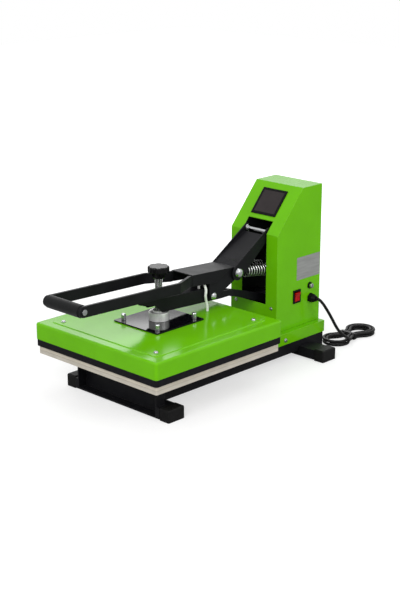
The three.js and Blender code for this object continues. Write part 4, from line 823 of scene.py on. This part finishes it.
class PRESS_OT_springs(bpy.types.Operator):
    """Wind the two coil springs on their rods"""

    bl_idname = "press.springs"
    bl_label = "Springs"

    def execute(self, context):
        material = plated_spring_wire()
        along = (place(0, *ROD_GUIDE) - place(0, *LINK_PIN)).normalized()
        wire = sizes().spring_wire / 2
        angles = [i * math.tau / SPRING_WIRE_SIDES for i in range(SPRING_WIRE_SIDES)]
        section = [(SPRING_RADIUS * MM + wire * math.cos(a), wire * math.sin(a)) for a in angles]
        for side, label in ((-1, "left"), (1, "right")):
            seat = place(side * SPRING_CENTRE, *LINK_PIN) + along * SPRING_START * MM
            bm = bmesh.new()
            wind(bm, section, SPRING_CURLS, SPRING_LENGTH * MM, SPRING_STEPS)
            mesh = mesh_from(bm, f"coil_spring_{label}", frame_along(along, seat))
            spring = finish_piece(f"coil_spring_{label}", mesh, material, f"rod_{label}")
            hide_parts(f"spring_{label}")
            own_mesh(spring)
        return {"FINISHED"}


# Pressure screw, in millimetres. The ridge starts a little inside the core.

SCREW_Y = 203.5
SCREW_SIDES = 40
THREAD_CREST = 9
THREAD_ROOT = 7.7
THREAD_BURIED = 0.3
THREAD_PITCH = 2
THREAD_STEPS = 20
# Where the ridge's crest starts and ends and where its flank runs out, as shares of the pitch
CREST_START = 0.36
CREST_END = 0.54
FLANK_END = 0.9
# Plain collar at the foot
COLLAR_RADIUS = 10.5
COLLAR_HEIGHT = 6


class PRESS_OT_screw_thread(bpy.types.Operator):
    """Cut the pressure screw's thread"""

    bl_idname = "press.screw_thread"
    bl_label = "Pressure screw"

    def execute(self, context):
        low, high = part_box("pressure_screw")
        height = high[2] - low[2]
        root, crest, pitch = THREAD_ROOT * MM, THREAD_CREST * MM, THREAD_PITCH * MM
        collar, collar_height = COLLAR_RADIUS * MM, COLLAR_HEIGHT * MM
        buried = root - THREAD_BURIED * MM
        section = [
            (buried, 0),
            (root, 0),
            (crest, pitch * CREST_START),
            (crest, pitch * CREST_END),
            (root, pitch * FLANK_END),
            (buried, pitch * FLANK_END),
        ]
        turns = int((height - collar_height) / pitch) - 1
        thread = bmesh.new()
        wind(thread, section, turns, turns * pitch, THREAD_STEPS)
        bmesh.ops.translate(thread, verts=thread.verts, vec=(0, 0, collar_height))
        ridge = bpy.data.meshes.new("thread")
        thread.to_mesh(ridge)
        thread.free()
        bm = bmesh.new()
        stand_disc(bm, 0, height, root, root, SCREW_SIDES)
        stand_disc(bm, 0, collar_height, collar, collar, SCREW_SIDES)
        bm.from_mesh(ridge)
        bpy.data.meshes.remove(ridge)
        foot = on_face(place(0, SCREW_Y, 0), 2, low[2])
        mesh = mesh_from(bm, "threaded_pressure_screw", Matrix.Translation(foot))
        screw = finish_piece("threaded_pressure_screw", mesh, zinc_thread_shaded_roots(), "screw")
        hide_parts("pressure_screw")
        return {"FINISHED"}


# Small screws: their places in the source's millimetres, and their sizes as shares of the head's diameter

COVER_SCREWS = ((-151, 44), (153.5, 45), (154, 358), (-151, 358))
SKIRT_SCREW = (546.5, 55)
FRONT_SCREW_X = 58
FRONT_SCREW_Z = 132.5
BACK_SCREW_X = 62
BACK_SCREW_HEIGHTS = (92, 250, 404)
SMALL_HEAD = 0.8

HEAD_SIDES = 28
WASHER_FOOT = 0.62
WASHER_TOP = 0.6
WASHER_DEPTH = 0.1
CROWN_FOOT = 0.5
CROWN_TOP = 0.42
CROWN_DEPTH = 0.3
CROWN_ROUNDING = 0.1
CROSS_SIZE = (0.46, 0.09, 0.012)


def pan_screw(name, origin, direction, head, body, material):
    """A pan-head screw on a washer, with a cross marked on its crown."""
    bm = bmesh.new()
    crown_top = head * (WASHER_DEPTH + CROWN_DEPTH)
    stand_disc(bm, 0, head * WASHER_DEPTH, head * WASHER_FOOT, head * WASHER_TOP, HEAD_SIDES)
    stand_disc(bm, head * WASHER_DEPTH, head * CROWN_DEPTH, head * CROWN_FOOT, head * CROWN_TOP, HEAD_SIDES)
    rim = [e for e in bm.edges if all(abs(v.co.z - crown_top) < head * 0.01 for v in e.verts)]
    round_edges(bm, rim, head * CROWN_ROUNDING, 3)
    for turn in (0, math.pi / 2):
        bar = bmesh.ops.create_cube(bm, size=1.0)["verts"]
        bmesh.ops.scale(bm, verts=bar, vec=Vector(CROSS_SIZE) * head)
        bmesh.ops.rotate(bm, verts=bar, cent=(0, 0, 0), matrix=Matrix.Rotation(turn, 3, "Z"))
        bmesh.ops.translate(bm, verts=bar, vec=(0, 0, crown_top))
    mesh = mesh_from(bm, name, frame_along(direction, origin))
    return finish_piece(name, mesh, material, body)


class PRESS_OT_screws(bpy.types.Operator):
    """Set the small screws of the cover, column and skirt"""

    bl_idname = "press.screws"
    bl_label = "Screws"

    def execute(self, context):
        material = zinc_plated_steel()
        head = sizes().screw_head
        small = head * SMALL_HEAD
        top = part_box("top_cover")[1][2]
        for i, (x, y) in enumerate(COVER_SCREWS, 1):
            spot = on_face(place(x, y, 0), 2, top)
            pan_screw(f"cover_screw_{i}", spot, (0, 0, 1), head, "upper_platen", material)
        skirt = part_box("column_skirt")[1][0]
        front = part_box("column_shell")[0][1]
        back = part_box("column_back_panel")[1][1]
        for side, label in ((-1, "left"), (1, "right")):
            spot = on_face(place(0, *SKIRT_SCREW), 0, side * skirt)
            pan_screw(f"skirt_screw_{label}", spot, (side, 0, 0), head, "base", material)
            spot = on_face(place(side * FRONT_SCREW_X, 0, FRONT_SCREW_Z), 1, front)
            pan_screw(f"column_front_screw_{label}", spot, (0, -1, 0), small, "base", material)
            for i, z in enumerate(BACK_SCREW_HEIGHTS, 1):
                spot = on_face(place(side * BACK_SCREW_X, 0, z), 1, back)
                pan_screw(f"back_panel_screw_{label}_{i}", spot, (0, 1, 0), small, "base", material)
        return {"FINISHED"}


# Bush on the top pivot pin: its profile as radius and height, in millimetres

BUSH_X = -34
BUSH_STEPS = 40
BUSH_PROFILE = (
    (4.7, 0),
    (8.4, 0),
    (9, 0.6),
    (9, 4.4),
    (8.4, 5),
    (6.6, 5),
    (6.2, 5.4),
    (6.2, 8),
    (5.7, 8.5),
    (4.7, 8.5),
)


class PRESS_OT_pin_boss(bpy.types.Operator):
    """Set the shouldered bush on the top pivot pin, inside the link's left eye"""

    bl_idname = "press.pin_boss"
    bl_label = "Pivot bush"

    def execute(self, context):
        bm = bmesh.new()
        points = [bm.verts.new((radius * MM, 0, height * MM)) for radius, height in BUSH_PROFILE]
        ring = [bm.edges.new((points[i - 1], points[i])) for i in range(len(points))]
        bmesh.ops.spin(
            bm,
            geom=[*points, *ring],
            cent=(0, 0, 0),
            axis=(0, 0, 1),
            angle=math.tau,
            steps=BUSH_STEPS,
            use_merge=True,
        )
        mesh = mesh_from(bm, "top_pin_bush", frame_along((1, 0, 0), place(BUSH_X, *TOP_PIN)))
        finish_piece("top_pin_bush", mesh, bright_chrome(), "link")
        return {"FINISHED"}


# Toe of the link's web, in millimetres from the link pin, along the web and across its thickness

KNUCKLE_RADIUS = 26.7
KNUCKLE_STEPS = 4
WEB_ANGLE = math.radians(27.7)
WEB_LOW = 15.35
WEB_HIGH = 18.15
WEB_START = 22.9
WEB_HALF_WIDTH = 34.3


class PRESS_OT_link_toe(bpy.types.Operator):
    """Round the lower end of the link's web, so that it follows the bracket's knuckle closely"""

    bl_idname = "press.link_toe"
    bl_label = "Link toe"

    def execute(self, context):
        heights = [WEB_HIGH + (WEB_LOW - WEB_HIGH) * i / KNUCKLE_STEPS for i in range(KNUCKLE_STEPS + 1)]
        outline = [(math.sqrt(KNUCKLE_RADIUS**2 - height**2), height) for height in heights]
        outline += [(WEB_START, WEB_LOW), (WEB_START, WEB_HIGH)]
        cos, sin = math.cos(WEB_ANGLE), math.sin(WEB_ANGLE)
        bm = bmesh.new()
        corners = []
        for run, height in outline:
            y = LINK_PIN[0] + run * cos - height * sin
            z = LINK_PIN[1] + run * sin + height * cos
            corners.append(bm.verts.new(place(-WEB_HALF_WIDTH, y, z)))
        swept = bmesh.ops.extrude_face_region(bm, geom=[bm.faces.new(corners)])
        moved = [v for v in swept["geom"] if isinstance(v, bmesh.types.BMVert)]
        bmesh.ops.translate(bm, verts=moved, vec=(2 * WEB_HALF_WIDTH * MM, 0, 0))
        mesh = mesh_from(bm, "link_web_toe")
        finish_piece("link_web_toe", mesh, satin_black_powder_coat(), "link")
        return {"FINISHED"}


# Bare plate on the column's right wall, in millimetres

PLATE_CENTRE = (649.7, 221)
PLATE_THICKNESS = 0.35
PLATE_PROUD = 0.2
PLATE_CORNER = 2
PLATE_CORNER_STEPS = 4


class PRESS_OT_plate(bpy.types.Operator):
    """Fix a bare plate to the column's right wall"""

    bl_idname = "press.plate"
    bl_label = "Bare plate"

    def execute(self, context):
        size = (PLATE_THICKNESS * MM, sizes().plate_width, sizes().plate_height)
        bm = bmesh.new()
        bmesh.ops.create_cube(bm, size=1.0)
        bmesh.ops.scale(bm, verts=bm.verts, vec=size)
        through = [e for e in bm.edges if abs(e.verts[0].co.x - e.verts[1].co.x) > 0.1 * MM]
        round_edges(bm, through, PLATE_CORNER * MM, PLATE_CORNER_STEPS)
        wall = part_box("column_shell")[1][0]
        centre = on_face(place(0, *PLATE_CENTRE), 0, wall + PLATE_PROUD * MM)
        mesh = mesh_from(bm, "side_plate_bare", Matrix.Translation(centre))
        finish_piece("side_plate_bare", mesh, bare_plate_foil(), "base")
        return {"FINISHED"}


class PRESS_OT_finishes(bpy.types.Operator):
    """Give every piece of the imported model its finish"""

    bl_idname = "press.finishes"
    bl_label = "Finishes"

    def execute(self, context):
        left = set(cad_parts) - REPLACED
        for make, names in FINISHES.items():
            material = make()
            for name in names:
                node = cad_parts[name]
                node.data.materials.clear()
                node.data.materials.append(material)
                left.discard(name)
        if left:
            raise RuntimeError(f"no finish for {sorted(left)}")
        return {"FINISHED"}


# Stage, in metres. Only the camera sees the floor's own glow, which grows outwards until the floor is white.

WHITE = (1, 1, 1, 1)
FLOOR_HALF = 6
FLOOR_DROP = 0.0005
GLOW_START = 0.5
GLOW_END = 1.8
GLOW_NEAR = 0.58
WORLD_DIM = 0.55

# Each soft lamp: its place, what it points at, its size and its power in watts
LAMPS = {
    "key": ((1.2, -2.9, 2.2), (0, 0, 0.15), (1.6, 1.6), 74),
    "fill": ((3.0, 0.6, 1.6), (0, 0.1, 0.15), (1.6, 1.6), 34),
    "top": ((-0.8, 0.6, 3.0), (0, 0, 0.1), (2.0, 2.0), 12),
    "back": ((-2.3, 2.0, 1.62), (0, 0, 0.15), (2.6, 0.8), 17),
}


def area_lamp(name, location, target, size, power):
    data = bpy.data.lights.new(name, "AREA")
    data.shape = "RECTANGLE"
    data.size, data.size_y = size
    data.energy = power
    lamp = bpy.data.objects.new(name, data)
    bpy.context.scene.collection.objects.link(lamp)
    lamp.location = location
    lamp.rotation_euler = (Vector(target) - Vector(location)).to_track_quat("-Z", "Y").to_euler()
    lamp.visible_camera = False


def paper_sweep():
    """Matte studio paper: pale grey with faint clouds, whitened for the camera away from the object."""
    material, tree, shader, coords = begin("paper_sweep")
    tint(tree, shader, coords, linear("B4B4B4"), 0.98, 400)
    vary_roughness(tree, shader, coords, 0.8, 0.95, 300)
    reach = add(tree, "ShaderNodeVectorMath", {0: coords}, operation="LENGTH").outputs["Value"]
    fade = add(
        tree,
        "ShaderNodeMapRange",
        {"Value": reach, "From Min": GLOW_START, "From Max": GLOW_END, "To Min": GLOW_NEAR, "To Max": 1.0},
    )
    glow = add(tree, "ShaderNodeEmission", {"Color": WHITE, "Strength": fade.outputs["Result"]})
    both = add(tree, "ShaderNodeAddShader", {0: shader.outputs["BSDF"], 1: glow.outputs["Emission"]})
    camera = add(tree, "ShaderNodeLightPath").outputs["Is Camera Ray"]
    shown = add(
        tree, "ShaderNodeMixShader", {0: camera, 1: shader.outputs["BSDF"], 2: both.outputs["Shader"]}
    )
    out = next(node for node in tree.nodes if node.type == "OUTPUT_MATERIAL")
    tree.links.new(shown.outputs["Shader"], out.inputs["Surface"])
    return material


def studio_world():
    """A dim even light on the object, and plain white to the camera, in mirrors and through glass."""
    world = bpy.data.worlds.new("studio")
    world.use_nodes = True
    tree = world.node_tree
    tree.nodes.clear()
    dim = add(tree, "ShaderNodeBackground", {"Color": WHITE, "Strength": WORLD_DIM}).outputs["Background"]
    white = add(tree, "ShaderNodeBackground", {"Color": WHITE, "Strength": 1.0}).outputs["Background"]
    path = add(tree, "ShaderNodeLightPath").outputs
    seen = add(
        tree, "ShaderNodeMath", {0: path["Is Camera Ray"], 1: path["Is Glossy Ray"]}, operation="MAXIMUM"
    )
    through = add(
        tree, "ShaderNodeMath", {0: seen.outputs[0], 1: path["Is Transmission Ray"]}, operation="MAXIMUM"
    )
    shown = add(tree, "ShaderNodeMixShader", {0: through.outputs[0], 1: dim, 2: white})
    add(tree, "ShaderNodeOutputWorld", {"Surface": shown.outputs["Shader"]})
    return world


class PRESS_OT_stage(bpy.types.Operator):
    """Set the pale floor, the white backdrop and the soft lamps"""

    bl_idname = "press.stage"
    bl_label = "Stage"

    def execute(self, context):
        bm = bmesh.new()
        bmesh.ops.create_grid(bm, x_segments=1, y_segments=1, size=FLOOR_HALF)
        mesh = mesh_from(bm, "floor", Matrix.Translation((0, 0, -FLOOR_DROP)))
        mesh.materials.append(paper_sweep())
        floor = bpy.data.objects.new("floor", mesh)
        context.scene.collection.objects.link(floor)
        context.scene.world = studio_world()
        for name, lamp in LAMPS.items():
            area_lamp(name, *lamp)
        return {"FINISHED"}


class PRESS_PT_panel(bpy.types.Panel):
    bl_idname = "PRESS_PT_panel"
    bl_label = "Heat press"
    bl_space_type = "VIEW_3D"
    bl_region_type = "UI"
    bl_category = "Press"

    def draw(self, context):
        for group in (context.scene.press_sizes, context.scene.press_colours):
            for name in group.__annotations__:
                self.layout.prop(group, name)
        for step in STEPS:
            self.layout.operator(step.bl_idname)


STEPS = (
    PRESS_OT_camera,
    PRESS_OT_cord,
    PRESS_OT_springs,
    PRESS_OT_screw_thread,
    PRESS_OT_screws,
    PRESS_OT_pin_boss,
    PRESS_OT_link_toe,
    PRESS_OT_plate,
    PRESS_OT_finishes,
    PRESS_OT_stage,
)
CLASSES = (PressColours, PressSizes, *STEPS, PRESS_PT_panel)


def register():
    for cls in CLASSES:
        bpy.utils.register_class(cls)
    bpy.types.Scene.press_colours = bpy.props.PointerProperty(type=PressColours)
    bpy.types.Scene.press_sizes = bpy.props.PointerProperty(type=PressSizes)


def unregister():
    del bpy.types.Scene.press_sizes
    del bpy.types.Scene.press_colours
    for cls in reversed(CLASSES):
        bpy.utils.unregister_class(cls)


def main():
    register()
    bpy.context.scene.view_settings.view_transform = "Standard"
    bpy.ops.press.camera()
    bpy.ops.press.cord()
    bpy.ops.press.springs()
    bpy.ops.press.screw_thread()
    bpy.ops.press.screws()
    bpy.ops.press.pin_boss()
    bpy.ops.press.link_toe()
    bpy.ops.press.plate()
    bpy.ops.press.finishes()
    bpy.ops.press.stage()


if __name__ == "__main__":
    main()
